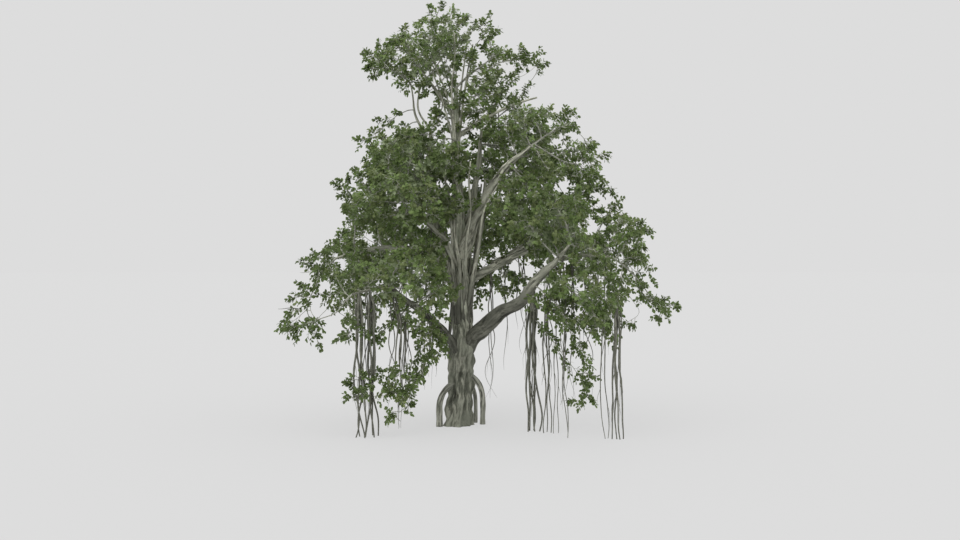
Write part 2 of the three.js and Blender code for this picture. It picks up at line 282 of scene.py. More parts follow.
@dataclass
class Solid:
    """A node of the model as loose triangles."""

    name: str
    triangles: np.ndarray

    @classmethod
    def of(cls, name: str) -> "Solid":
        """Reads a node's mesh.

        Args:
            name: the node.

        Returns:
            The solid.
        """
        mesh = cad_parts[name].data
        mesh.calc_loop_triangles()
        spots = np.empty(3 * len(mesh.vertices), np.float32)
        mesh.vertices.foreach_get("co", spots)
        corners = np.empty(3 * len(mesh.loop_triangles), np.int32)
        mesh.loop_triangles.foreach_get("vertices", corners)
        return cls(name, spots.reshape(-1, 3)[corners].reshape(-1, 3, 3).astype(float))

    def section(self, point: np.ndarray, normal: np.ndarray) -> tuple[np.ndarray, float]:
        """Where a plane cuts the solid: the middle of the cut's outline and its mean radius.

        Args:
            point: a point on the plane.
            normal: the plane's direction.

        Returns:
            The middle and the radius, both weighted by the lengths of the outline's pieces.
        """
        heights = (self.triangles - point) @ normal
        above = heights > 0
        cut = above.any(axis=1) & ~above.all(axis=1)
        starts, highs = self.triangles[cut], heights[cut]
        ends, lows = np.roll(starts, -1, axis=1), np.roll(highs, -1, axis=1)
        crossed = (highs > 0) != (lows > 0)
        share = highs[crossed] / (highs[crossed] - lows[crossed])
        spots = starts[crossed] + (ends[crossed] - starts[crossed]) * share[:, None]
        pairs = spots.reshape(-1, 2, 3)
        weights = np.linalg.norm(pairs[:, 1] - pairs[:, 0], axis=1)
        middles = pairs.mean(axis=1)
        middle = np.average(middles, axis=0, weights=weights)
        radius = np.average(np.linalg.norm(middles - middle, axis=1), weights=weights)
        return middle, float(radius)

    def spine_between(self, low: np.ndarray, high: np.ndarray, sections: int) -> Spine:
        """The middle line between two points, from sections square to the line that joins them.

        Args:
            low: where it starts.
            high: where it ends.
            sections: how many there are, evenly apart.

        Returns:
            The line through the sections' middles, with their radii.
        """
        normal = unit(high - low)
        margin = 0.5 / sections
        shares = np.linspace(margin, 1 - margin, sections)
        cuts = [self.section(low + (high - low) * share, normal) for share in shares]
        return Spine(np.array([cut[0] for cut in cuts]), np.array([cut[1] for cut in cuts]))

    def upright_spine(self, sections: int) -> Spine:
        """The middle line of a solid that stands or hangs, by level sections.

        Args:
            sections: how many there are.

        Returns:
            The line, lowest point first.
        """
        corners = self.triangles.reshape(-1, 3)
        low, high = corners[:, 2].min(), corners[:, 2].max()
        spine = self.spine_between(low * UP, high * UP, sections)
        spine.points[0, 2] = low
        return spine

    def limb_spine(self, sections: int) -> Spine:
        """The middle line of a limb between its two farthest corners.

        Args:
            sections: how many there are across it.

        Returns:
            The line, thick end first.
        """
        corners = np.unique(self.triangles.reshape(-1, 3).round(4), axis=0)
        gaps = np.linalg.norm(corners[:, None] - corners[None], axis=2)
        one, other = np.unravel_index(np.argmax(gaps), gaps.shape)
        spine = self.spine_between(corners[one], corners[other], sections)
        if spine.radii[:3].sum() < spine.radii[-3:].sum():
            spine = Spine(spine.points[::-1], spine.radii[::-1])
        return spine

    def tree(self) -> BVHTree:
        """The triangles in a form that finds the nearest one."""
        faces = np.arange(3 * len(self.triangles)).reshape(-1, 3)
        return BVHTree.FromPolygons(self.triangles.reshape(-1, 3).tolist(), faces.tolist())


class Skeleton:
    """The middle lines of the trunk, limbs, stilt roots and hanging roots."""

    TRUNK_SECTIONS = 60
    LIMB_SECTIONS = 24
    STEP = 0.1
    WANDER = 0.48
    WANDER_PITCH = 1.3
    DEEPEST_SOCKET = 0.7
    SOCKET_SLANT = np.array([1, 1, 1.25])
    TWIN_SIDE = np.array([1.0, -0.4, 0])
    TWIN_PARTING = 4
    TWIN_SWAY = 0.14
    TWIN_WAVES = 7
    TWIN_GIRTH = 0.8
    STILT_SECTIONS = 8
    STILT_LEG = 0.55
    STILT_GIRTH_AT = 0.3
    STILT_LEAN = 0.1
    ARC_POINTS = 16

    def __init__(self) -> None:
        """Reads every line from the model, and lets each limb wander a little and reach its parent."""
        names = sorted(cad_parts)
        self.masses = [name for name in names if name.endswith("_mass") or "_mass_" in name]
        self.hanging = [name for name in names if name.startswith("hanging_root")]
        self.limbs = [
            name for name in names
            if name not in (*self.masses, *self.hanging, *STILTS, "trunk")
        ]
        self.noise = Noise(SEED)
        trunk = Solid.of("trunk").upright_spine(self.TRUNK_SECTIONS)
        self.lines = {"trunk": trunk.resampled(self.STEP, 3)}
        for lane, name in enumerate(self.limbs):
            line = Solid.of(name).limb_spine(self.LIMB_SECTIONS).resampled(self.STEP, 12)
            self.lines[name] = self.bent(name, self.wandered(line, lane))
        for name in self.limbs:
            self.lines[name] = self.rooted(name)
        for name in STILTS:
            self.lines[name] = self.stilt(name)
        for name in self.hanging:
            self.lines[name] = Solid.of(name).upright_spine(self.LIMB_SECTIONS)

    def twins(self) -> list[Spine]:
        """Second limbs that part from the first to the right near its foot, and run beside it.

        The way to the side is a falling exponential's rise and a sine.

        Returns:
            Their middle lines.
        """
        lines = []
        for name, gap in TWINS.items():
            line = self.lines[name]
            share = line.distances() / line.length()
            aside = gap * (1 - np.exp(-self.TWIN_PARTING * share))
            aside = aside + self.TWIN_SWAY * np.sin(self.TWIN_WAVES * share)
            moved = line.points + aside[:, None] * self.TWIN_SIDE
            lines.append(Spine(moved, self.TWIN_GIRTH * line.radii))
        return lines

    def wandered(self, line: Spine, lane: int) -> Spine:
        """The line moved sideways by smooth noise, nothing at its foot and a share of its radius on.

        Args:
            line: the limb's middle line.
            lane: the limb's own number.

        Returns:
            The moved line.
        """
        along = line.distances()
        ease = np.minimum(1, along / self.WANDER_PITCH)
        across, beside = line.frames()
        first = self.noise.along(along / self.WANDER_PITCH, lane) * line.radii * ease
        second = self.noise.along(along / self.WANDER_PITCH, lane + 0.5) * line.radii * ease
        moved = self.WANDER * (first[:, None] * across + second[:, None] * beside)
        return Spine(line.points + moved, line.radii)

    def bent(self, name: str, line: Spine) -> Spine:
        """The line moved by a bell curve round a share of its length, if it has an elbow.

        Args:
            name: the limb.
            line: its middle line.

        Returns:
            The moved line, or the same one.
        """
        if name not in ELBOWS:
            return line
        place, reach, shift = ELBOWS[name]
        share = line.distances() / line.length()
        bell = np.exp(-(((share - place) / reach) ** 2))
        return Spine(line.points + bell[:, None] * np.array(shift), line.radii)

    def rooted(self, name: str) -> Spine:
        """A limb's line run on backwards into its parent, to the parent's own middle line.

        Args:
            name: the limb.

        Returns:
            The longer line.
        """
        line = self.lines[name]
        foot = line.points[0]
        others = [other.points for key, other in self.lines.items() if key != name]
        gap = min(np.linalg.norm(points - foot, axis=1).min() for points in others)
        depth = min(gap, self.DEEPEST_SOCKET)
        back = foot - depth * unit(line.points[4] - foot) * self.SOCKET_SLANT
        shares = np.linspace(0, 1, max(2, round(depth / self.STEP)), endpoint=False)[:, None]
        return Spine(
            np.concatenate([back + (foot - back) * shares, line.points]),
            np.concatenate([np.full(len(shares), line.radii[0]), line.radii]),
        )

    def stilt(self, name: str) -> Spine:
        """A stilt root from the ground up its leg, then on an arc into the trunk's middle.

        The arc is a quadratic curve that the bend above the knee pulls outwards.

        Args:
            name: the root.

        Returns:
            Its middle line, foot first.
        """
        solid = Solid.of(name)
        top = solid.triangles[..., 2].max()
        radius = solid.section(np.array([0, 0, self.STILT_GIRTH_AT * top]), UP)[1]
        leg = solid.spine_between(0 * UP, self.STILT_LEG * top * UP, self.STILT_SECTIONS)
        leg.points[0, 2] = 0
        knee = leg.points[-1]
        trunk = self.lines["trunk"]
        inside = trunk.points[np.argmin(np.abs(trunk.points[:, 2] - top))]
        bend = self.STILT_LEAN * inside + (1 - self.STILT_LEAN) * knee
        bend[2] = top - radius
        share = np.linspace(0, 1, self.ARC_POINTS)[1:, None]
        arc = (1 - share) ** 2 * knee + 2 * share * (1 - share) * bend + share**2 * inside
        points = np.concatenate([leg.points, arc])
        return Spine(points, np.full(len(points), radius)).resampled(self.STEP / 2, 2)


# ---------------------------------------------------------------- meshes


def bands(low: np.ndarray, high: np.ndarray) -> np.ndarray:
    """Two triangles for each side between rings that run anticlockwise about the way they go.

    Args:
        low: the vertices' numbers in the lower rings, shape (rings, sides).
        high: the numbers of those above them.

    Returns:
        The triangles, as rows of three numbers.
    """
    low_next, high_next = np.roll(low, -1, axis=1), np.roll(high, -1, axis=1)
    halves = np.stack([low, low_next, high_next], axis=-1), np.stack([low, high_next, high], axis=-1)
    return np.concatenate(halves).reshape(-1, 3)


class Shell:
    """One mesh joined from many closed tubes, with the attributes that their bark reads.

    relief is 0 in the creases and 1 on the ridges, and the bark turns it into painted shade in the
    creases and painted light on the ridges. grain is a place in the limb's own straightened
    space: two coordinates round its section and one along it, in metres.
    """

    def __init__(self) -> None:
        """Starts empty."""
        self.spots: list[np.ndarray] = []
        self.faces: list[np.ndarray] = []
        self.relief: list[np.ndarray] = []
        self.grain: list[np.ndarray] = []
        self.count = 0

    def add_tube(self, rings: np.ndarray, relief: np.ndarray, grain: np.ndarray) -> None:
        """Adds a tube of rings, closed at both ends by a fan round its middle.

        Args:
            rings: the surface, shape (rings, sides, 3), turning with the direction it runs in.
            relief: one value a vertex, shape (rings, sides).
            grain: one place a vertex, shape (rings, sides, 3).
        """
        rows, sides = rings.shape[:2]
        start = self.count + np.arange(rows * sides).reshape(rows, sides)
        beside = np.roll(start, -1, axis=1)
        foot = np.full(sides, self.count + rows * sides)
        tip = foot + 1
        self.faces += [
            bands(start[:-1], start[1:]),
            np.stack([foot, beside[0], start[0]], axis=1),
            np.stack([tip, start[-1], beside[-1]], axis=1),
        ]
        self.spots += [rings.reshape(-1, 3), rings[[0, -1]].mean(axis=1)]
        self.relief += [relief.ravel(), relief[[0, -1]].mean(axis=1)]
        self.grain += [grain.reshape(-1, 3), grain[[0, -1]].mean(axis=1)]
        self.count += rows * sides + 2

    def built(self, name: str, material: bpy.types.Material) -> bpy.types.Object:
        """The joined mesh as an object.

        Args:
            name: its name.
            material: its bark.

        Returns:
            The piece, with both attributes.
        """
        piece = mesh_object(name, np.concatenate(self.spots), np.concatenate(self.faces), material)
        relief = piece.data.attributes.new("relief", "FLOAT", "POINT")
        relief.data.foreach_set("value", np.concatenate(self.relief).astype(np.float32))
        grain = piece.data.attributes.new("grain", "FLOAT_VECTOR", "POINT")
        grain.data.foreach_set("vector", np.concatenate(self.grain).astype(np.float32).ravel())
        return piece


def mesh_object(
    name: str, spots: np.ndarray, faces: np.ndarray, material: bpy.types.Material
) -> bpy.types.Object:
    """A smooth-shaded mesh of triangles, linked to the scene.

    Args:
        name: the piece's name.
        spots: vertices, shape (count, 3).
        faces: triangles as rows of three vertex numbers.
        material: the one material.

    Returns:
        The object, at the origin.
    """
    mesh = bpy.data.meshes.new(name)
    mesh.vertices.add(len(spots))
    mesh.vertices.foreach_set("co", spots.astype(np.float32).ravel())
    mesh.loops.add(3 * len(faces))
    mesh.loops.foreach_set("vertex_index", faces.astype(np.int32).ravel())
    mesh.polygons.add(len(faces))
    mesh.polygons.foreach_set("loop_start", np.arange(0, 3 * len(faces), 3, dtype=np.int32))
    mesh.polygons.foreach_set("use_smooth", np.ones(len(faces), bool))
    mesh.materials.append(material)
    mesh.update(calc_edges=True)
    piece = bpy.data.objects.new(name, mesh)
    bpy.context.scene.collection.objects.link(piece)
    return piece


# ---------------------------------------------------------------- bark relief


@dataclass(frozen=True)
class Ropes:
    """Fused strands that run along a limb and twist round it.

    width is a strand's half width as a share of half the room between two, twist is in radians for
    each metre, and each strand wanders sideways by wander radians every pitch metres.
    """

    count: int
    width: float
    twist: float
    wander: float
    pitch: float
    lane: float

    SCATTER = 0.5
    MEAN_WIDTH = 1.15
    WIDTH_SWAY = 0.5
    MEAN_RISE = 0.8
    RISE_SWAY = 0.45
    LEAST_RISE = 0.3
    RISE_PITCH = 1.7

    def relief(self, angles: np.ndarray, along: np.ndarray, noise: Noise) -> np.ndarray:
        """How high the strands stand at each place, from 0 between them to 1 on their backs.

        A strand's section is the upper half of an ellipse across its width, and the highest strand
        counts. Noise along each strand moves it, widens it, and lets it sink and rise again.

        Args:
            angles: angle round the limb, shape (rings, sides).
            along: distance along it, shape (rings, 1).
            noise: what the strands wander by.

        Returns:
            One height a place, shape (rings, sides).
        """
        highest = np.zeros(np.broadcast(angles, along).shape)
        for strand in range(self.count):
            lane = self.lane + strand
            drift, sway = [noise.along(along / self.pitch, lane + apart) for apart in (0, 0.37)]
            middle = 2 * math.pi * strand / self.count + self.twist * along + self.wander * drift
            middle = middle + self.SCATTER * math.sin(12.9898 * lane)
            width = math.pi / self.count * self.width * (self.MEAN_WIDTH + self.WIDTH_SWAY * sway)
            sway = noise.along(along / (self.RISE_PITCH * self.pitch), lane + 0.71)
            rise = np.clip(self.MEAN_RISE + self.RISE_SWAY * sway, self.LEAST_RISE, 1)
            gap = (angles - middle + math.pi) % (2 * math.pi) - math.pi
            dome = np.sqrt(np.clip(1 - (gap / width) ** 2, 0, 1))
            highest = np.maximum(highest, rise * dome)
        return highest


def grain_of(angles: np.ndarray, radii: np.ndarray, along: np.ndarray, twist: float) -> np.ndarray:
    """Places in a limb's straightened space: round its section, turned back by its twist, and along.

    Args:
        angles: angle round the limb, shape (1, sides).
        radii: its radius there, shape (rings, 1).
        along: distance along it, shape (rings, 1).
        twist: radians for each metre.

    Returns:
        One place for each angle, shape (rings, sides, 3).
    """
    straight = angles - twist * along
    rounds = np.broadcast_arrays(radii * np.cos(straight), radii * np.sin(straight), along)
    return np.stack(rounds, axis=-1)


@dataclass
class Trunk:
    """The trunk: strands fused round a core, a flared foot, swellings at its forks and a knot hole."""

    skeleton: Skeleton
    sides: int = 176
    rows: int = 480
    crowding: float = 1.25
    big: Ropes = Ropes(10, 0.95, 0.12, 0.6, 1.5, 3.0)
    small: Ropes = Ropes(25, 0.9, -0.16, 0.4, 0.9, 40.0)
    big_depth: float = 0.3
    big_mean: float = 0.66
    small_depth: float = 0.1
    small_mean: float = 0.55
    fissure_depth: float = 0.05
    fissure_waves: tuple[float, float, float] = (9, 9, 1.6)
    lump_depth: float = 0.26
    lump_pitch: float = 0.55
    foot_spread: float = 0.13
    foot_height: float = 0.45
    foot_evenness: float = 0.3
    swell: float = 0.3
    swell_reach: float = 1.5
    most_swell: float = 0.14
    knot_height: float = 2.47
    knot_radius: float = 0.085
    knot_depth: float = 0.13
    knot_height_share: float = 0.8
    rim: float = 1.5
    lip: float = 0.05
    noise: Noise = own_noise(1)

    def build(self, material: bpy.types.Material) -> bpy.types.Object:
        """The trunk's skin.

        Its radius is the model's own, times one plus the strands' relief less its mean, plus the
        foot's spread, a swelling round each limb's foot, fissures of stretched noise, and the knot.

        Args:
            material: the bark.

        Returns:
            The piece, standing for the trunk.
        """
        line = self.skeleton.lines["trunk"]
        levels = line.points[-1, 2] * np.linspace(0, 1, self.rows) ** self.crowding
        line = line.at_heights(levels)
        radius = line.radii[:, None]
        angles = ring_angles(self.sides)[None]
        along = levels[:, None]
        big = self.big.relief(angles, along, self.noise)
        small = self.small.relief(angles, along, self.noise)
        outward = np.stack([np.cos(angles), np.sin(angles), 0 * angles], axis=-1)
        grain = grain_of(angles, radius, along, self.big.twist)
        fissures = self.noise.at(grain * np.array(self.fissure_waves))
        lumps = self.noise.at(grain / self.lump_pitch + 50)
        share = 1 + self.big_depth * (big - self.big_mean) + self.small_depth * (small - self.small_mean)
        share += self.fissure_depth * fissures + self.lump_depth * lumps
        share += self.foot_spread * np.exp(-along / self.foot_height) * (self.foot_evenness + big)
        middle = np.concatenate([line.points[:, :2], along], axis=1)
        spots = middle[:, None] + (radius * share)[..., None] * outward
        spots += self.swellings(spots, radius)[..., None] * outward
        pit, rim = self.knot(spots)
        spots += (self.lip * rim - self.knot_depth * pit)[..., None] * outward
        # painted shade: low relief, in the creases and most of all in the knot's pit, gets the dark crease
        # colour; high relief gets the pale ridge colour as painted light
        relief = np.clip(0.75 * big + 0.35 * small + 0.35 * fissures - 0.05 - 0.9 * pit, 0, 1)
        shell = Shell()
        shell.add_tube(spots, relief, grain)
        piece = shell.built("trunk_bark", material)
        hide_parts("trunk")
        return piece

    def swellings(self, spots: np.ndarray, radius: np.ndarray) -> np.ndarray:
        """How far the trunk swells towards the limbs that leave it: a bell round each limb's foot.

        Args:
            spots: places on its skin, shape (rings, sides, 3).
            radius: its radius at each ring.

        Returns:
            One distance a place.
        """
        swell = np.zeros(spots.shape[:2])
        for name in self.skeleton.limbs:
            line = self.skeleton.lines[name]
            foot, girth = line.points[3:9:2], line.radii[0]
            if np.linalg.norm(line.points[0, :2]) >= radius.max():
                continue
            gap = np.min(np.linalg.norm(spots[:, :, None] - foot, axis=-1), axis=2)
            swell += self.swell * girth * np.exp(-((gap / (self.swell_reach * girth)) ** 2))
        return np.minimum(swell, self.most_swell)

    def knot(self, spots: np.ndarray) -> tuple[np.ndarray, np.ndarray]:
        """The knot hole in front, as bells of the distance from its middle and from its rim.

        Args:
            spots: places on the trunk's skin, shape (rings, sides, 3).

        Returns:
            The share of the pit and of the rim at each place.
        """
        sideways = spots[..., 0] - spots[..., 0].mean(axis=1, keepdims=True)
        rise = self.knot_height_share * (spots[..., 2] - self.knot_height)
        gap = np.hypot(sideways, rise) / self.knot_radius
        front = spots[..., 1] < spots[..., 1].mean(axis=1, keepdims=True)
        return front * np.exp(-(gap**2)), front * np.exp(-((gap - self.rim) ** 2) * 2)


@dataclass
class Boughs:
    """The boughs and stilt roots, with twisting strands along them and a collar at each foot."""

    skeleton: Skeleton
    tips: dict[str, float]
    strands: list[Spine]
    sides: int = 32
    strand_sides: int = 10
    step: float = 0.07
    ropes: Ropes = Ropes(6, 1.0, 0.35, 0.6, 1.0, 90.0)
    depth: float = 0.3
    ropes_mean: float = 0.66
    fissure_depth: float = 0.06
    fissure_waves: tuple[float, float, float] = (14, 14, 2.2)
    lump_depth: float = 0.14
    lump_pitch: float = 0.55
    lane_gap: float = 31
    collar: float = 0.18
    collar_reach: float = 3.2
    girth: float = 1.12
    tapering: float = 1.6
    noise: Noise = own_noise(2)

    def build(
        self, material: bpy.types.Material, stilt_material: bpy.types.Material
    ) -> list[bpy.types.Object]:
        """The boughs' skins in one mesh and the stilt roots' in another.

        Args:
            material: the boughs' bark.
            stilt_material: the stilt roots' bark.

        Returns:
            The two pieces, standing for their nodes.
        """
        shell, stilts = Shell(), Shell()
        for lane, name in enumerate(self.skeleton.limbs):
            self.add(shell, self.skeleton.lines[name], lane, self.sides, self.tips.get(name))
        for lane, name in enumerate(STILTS, len(self.skeleton.limbs)):
            self.add(stilts, self.skeleton.lines[name], lane, self.sides, stands=True)
        for lane, line in enumerate(self.strands, len(self.skeleton.limbs) + len(STILTS)):
            self.add(shell, line, lane, self.strand_sides)
        boughs = shell.built("bough_bark", material)
        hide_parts(*self.skeleton.limbs)
        roots = stilts.built("stilt_bark", stilt_material)
        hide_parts(*STILTS)
        return [boughs, roots]

    def add(
        self, shell: Shell, line: Spine, lane: int, sides: int,
        tip: float | None = None, stands: bool = False,
    ) -> None:
        """Adds one limb's skin.

        Its radius is the model's own, made up for the model's flat sides, drawn down to the tip's
        towards its end, swollen at its foot by a falling exponential, and moved by the strands and by
        noise stretched along it.

        Args:
            shell: what it is added to.
            line: the limb's middle line.
            lane: the limb's own number, which sets its strands apart from others'.
            sides: how many sides it has.
            tip: the radius it thins to, or None to keep its own.
            stands: whether its first ring stands flat on the ground.
        """
        line = line.resampled(self.step)
        along = line.distances()[:, None]
        radius = self.girth * line.radii[:, None]
        if tip is not None:
            left = (along[-1] - along) / self.tapering
            ease = np.clip(left, 0, 1)
            radius = ease * radius + (1 - ease) * np.minimum(tip, radius)
        if not stands:
            radius = radius * (1 + self.collar * np.exp(-along / (self.collar_reach * line.radii[0])))
        angles = ring_angles(sides)[None]
        shifted = along + self.lane_gap * lane
        ropes = self.ropes.relief(angles, shifted, self.noise)
        grain = grain_of(angles, radius, shifted, self.ropes.twist)
        fissures = self.noise.at(grain * np.array(self.fissure_waves))
        lumps = self.noise.at(grain / self.lump_pitch)
        share = 1 + self.depth * (ropes - self.ropes_mean)
        share = share + self.fissure_depth * fissures + self.lump_depth * lumps
        spots = line.tube(angles, radius * share)
        if stands:
            spots[0, :, 2] = 0
            spots[..., 2] = np.maximum(spots[..., 2], 0)
        # painted shade in the creases and painted light on the ridges, by the relief
        relief = np.clip(0.9 * ropes + 0.4 * fissures + 0.05, 0, 1)
        shell.add_tube(spots, relief, grain)


@dataclass(frozen=True)
class Climb:
    """Strands that climb the trunk's skin and then part from it, in metres.

    foot, leave and top are heights, part is how far they stand off the trunk at their tops, and
    thick and thin are their radii at both ends.
    """

    count: int
    foot: float
    leave: float
    top: float
    part: float
    thick: float
    thin: float


CLIMBS = (
    Climb(14, 4.6, 6.2, 12.0, 2.5, 0.1, 0.035),
    Climb(8, 10.5, 14.0, 18.3, 1.4, 0.07, 0.022),
)


@dataclass
class Climbers:
    """The strands that are fused to the outside of the trunk and spread from it into the crown."""

    skeleton: Skeleton
    step: float = 0.12
    twist: float = 0.05
    drift: float = 0.4
    drift_pitch: float = 3.0
    sunk: float = 0.6
    spreading: float = 1.1
    parting: tuple[float, float] = (0.4, 1.2)
    scatter: float = 0.3
    uneven: float = 0.14
    noise: Noise = own_noise(9)
    rng: np.random.Generator = own_draws(SEED + 10)

    def lines(self) -> list[Spine]:
        """The middle line of every strand."""
        lanes = [climb for climb in CLIMBS for _ in range(climb.count)]
        return [self.line(climb, lane) for lane, climb in enumerate(lanes)]

    def line(self, climb: Climb, lane: int) -> Spine:
        """One strand's middle line.

        It is the trunk's middle plus an arm that turns with height and drifts by noise. The arm is as
        long as the trunk's radius less the part sunk in it, plus a power of how far the strand is
        past the height where it leaves.

        Args:
            climb: the strand's kind.
            lane: its own number.

        Returns:
            The line, foot first.
        """
        foot, leave, top = (
            height * (1 + self.uneven * self.rng.uniform(-1, 1) * weight)
            for height, weight in ((climb.foot, 1.5), (climb.leave, 1), (climb.top, 0.4))
        )
        heights = np.linspace(foot, top, round((top - foot) / self.step))
        share = (heights - foot) / (top - foot)
        parted = np.clip((heights - leave) / (top - leave), 0, 1)
        radius = climb.thick + (climb.thin - climb.thick) * share
        trunk = self.skeleton.lines["trunk"].at_heights(heights)
        part = climb.part * self.rng.uniform(*self.parting)
        socket = 2 * climb.thick * np.exp(-(heights - foot) / climb.thick)
        arm = trunk.radii - self.sunk * radius - socket + part * parted**self.spreading
        angle = 2 * math.pi * (lane + self.rng.uniform(-self.scatter, self.scatter)) / climb.count
        angle = angle + self.twist * heights + self.drift * self.noise.along(heights / self.drift_pitch, lane)
        across, beside = trunk.points[:, 0] + arm * np.cos(angle), trunk.points[:, 1] + arm * np.sin(angle)
        return Spine(np.stack([across, beside, heights], axis=1), radius)


# ---------------------------------------------------------------- the crown's growth


@dataclass(frozen=True)
class Patch:
    """A round patch of a leaf mass seen from in front, where the crown is open or a tuft stands out.

    hour is its direction from the mass's middle, as on a clock face. out is how far out it lies, as a
    share of half the size of the mass's box. radius is in metres.
    """

    mass: str
    hour: int
    out: float
    radius: float

    def middle(self) -> np.ndarray:
        """The patch's middle, halfway through the mass from front to back.

        Returns:
            The point.
        """
        low, high = (np.array(corner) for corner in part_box(self.mass))
        angle = self.hour * HOUR
        aside = self.out * np.array([math.sin(angle), 0, math.cos(angle)])
        return (low + high) / 2 + aside * (high - low) / 2

    def places(self, density: float, rng: np.random.Generator) -> np.ndarray:
        """Random places in a ball round the middle.

        Args:
            density: about how many there are in a cubic metre.
            rng: what draws them.

        Returns:
            The places.
        """
        count = round(density * BALL_VOLUME * self.radius**3)
        outward = unit(rng.normal(size=(count, 3)))
        return self.middle() + self.radius * np.cbrt(rng.random((count, 1))) * outward

    def hides(self, places: np.ndarray) -> np.ndarray:
        """Which places lie before or behind the patch, on the lines of sight through it.

        Args:
            places: points.

        Returns:
            A yes or no for each.
        """
        middle = self.middle()
        shares = (middle[1] - EYE[1]) / (places[:, 1] - EYE[1])
        gaps = EYE + (places - EYE) * shares[:, None] - middle
        return np.hypot(gaps[:, 0], gaps[:, 2]) < self.radius


def patches(rows: dict[str, tuple[tuple[int, float, float], ...]]) -> list[Patch]:
    """Patches from the hour, distance out and radius of each, by mass."""
    return [Patch(mass, *row) for mass, several in rows.items() for row in several]


OPENINGS = patches({
    "top_left_mass": ((7, 1, 0.55), (9, 1.2, 0.4)),
    "top_right_mass": ((2, 0.6, 0.45), (10, 0.5, 0.35)),
    "top_right_tip_mass": ((6, 0.9, 0.45), (1, 1, 0.3)),
    "upper_left_mass": ((12, 1.3, 0.6), (9, 1, 0.45)),
    "upper_right_mass": ((1, 1.2, 0.45), (4, 1.15, 0.35)),
    "right_shoulder_mass": ((3, 1.05, 0.4), (6, 0.5, 0.5)),
    "mid_left_mass": ((8, 1.15, 0.6), (9, 0.95, 0.35)),
    "far_right_mass": ((10, 0.8, 0.5), (1, 0.9, 0.4), (3, 0.95, 0.4), (6, 0.6, 0.4)),
    "far_right_tip_mass": (
        (2, 0.8, 0.5), (12, 0.4, 0.35), (3, 1.15, 0.3), (6, 0.9, 0.4), (7, 0.7, 0.4), (9, 0.75, 0.4),
    ),
    "left_low_mass": ((9, 1.05, 0.4), (8, 0.5, 0.45), (12, 0.5, 0.4), (11, 1.2, 0.4), (1, 1.5, 0.35)),
    "far_left_mass": ((3, 1.2, 0.6), (1, 0.35, 0.3)),
    "hanging_mass_near_trunk": ((9, 1.2, 0.4),),
    "hanging_mass_left": ((12, 1.2, 0.4), (9, 1.3, 0.4)),
    "hanging_mass_inner": ((8, 1.4, 0.5),),
    "weeping_mass_right": ((8, 1.3, 0.5), (9, 1.6, 0.5)),
    "behind_trunk_mass": ((3, 0.5, 0.25),),
    "right_low_mass": ((6, 0.85, 0.35), (7, 0.4, 0.3)),
})
TUFTS = patches({
    "top_mass": ((2, 0.9, 0.5), (3, 1, 0.4), (6, 1, 0.35), (11, 0.9, 0.35)),
    "top_left_mass": ((5, 1.1, 0.4), (12, 1.05, 0.3)),
    "top_right_mass": ((12, 1, 0.3),),
    "top_right_tip_mass": ((4, 0.95, 0.3),),
    "under_top_mass": ((8, 0.9, 0.4), (7, 1.25, 0.4), (1, 1.15, 0.4), (2, 0.75, 0.35)),
    "upper_left_mass": ((10, 1.05, 0.4), (11, 1.1, 0.4), (4, 0.9, 0.45)),
    "upper_right_mass": ((2, 0.9, 0.45),),
    "right_shoulder_mass": ((2, 1.05, 0.35), (4, 1.15, 0.35), (1, 1.1, 0.35), (12, 1.45, 0.35)),
    "mid_left_mass": ((10, 1, 0.4), (2, 0.95, 0.45), (3, 0.95, 0.5), (4, 0.95, 0.35)),
    "left_low_mass": ((8, 1.2, 0.45), (10, 1, 0.4), (1, 1, 0.45), (2, 1.1, 0.4), (6, 0.9, 0.3)),
    "left_inner_mass": ((6, 1.3, 0.35), (5, 1.05, 0.45), (7, 1.4, 0.4)),
    "left_skirt_mass": ((6, 0.75, 0.35),),
    "hanging_mass_near_trunk": ((7, 1.2, 0.45),),
    "hanging_mass_inner": ((6, 0.8, 0.4),),
    "behind_trunk_mass": ((7, 1.3, 0.4),),
    "mid_right_mass": ((6, 1.3, 0.35), (12, 1.25, 0.45)),
    "right_low_mass": ((12, 1.1, 0.6), (11, 1.15, 0.5), (4, 1.15, 0.35), (5, 1.15, 0.35), (9, 1, 0.3)),
    "far_right_mass": ((5, 1, 0.35), (12, 1.05, 0.35)),
    "weeping_mass_right": ((12, 0.7, 0.4), (6, 0.2, 0.35), (5, 0.85, 0.4)),
})


def in_opening(places: np.ndarray) -> np.ndarray:
    """Which places are seen in one of the crown's openings."""
    return np.any([opening.hides(places) for opening in OPENINGS], axis=0)


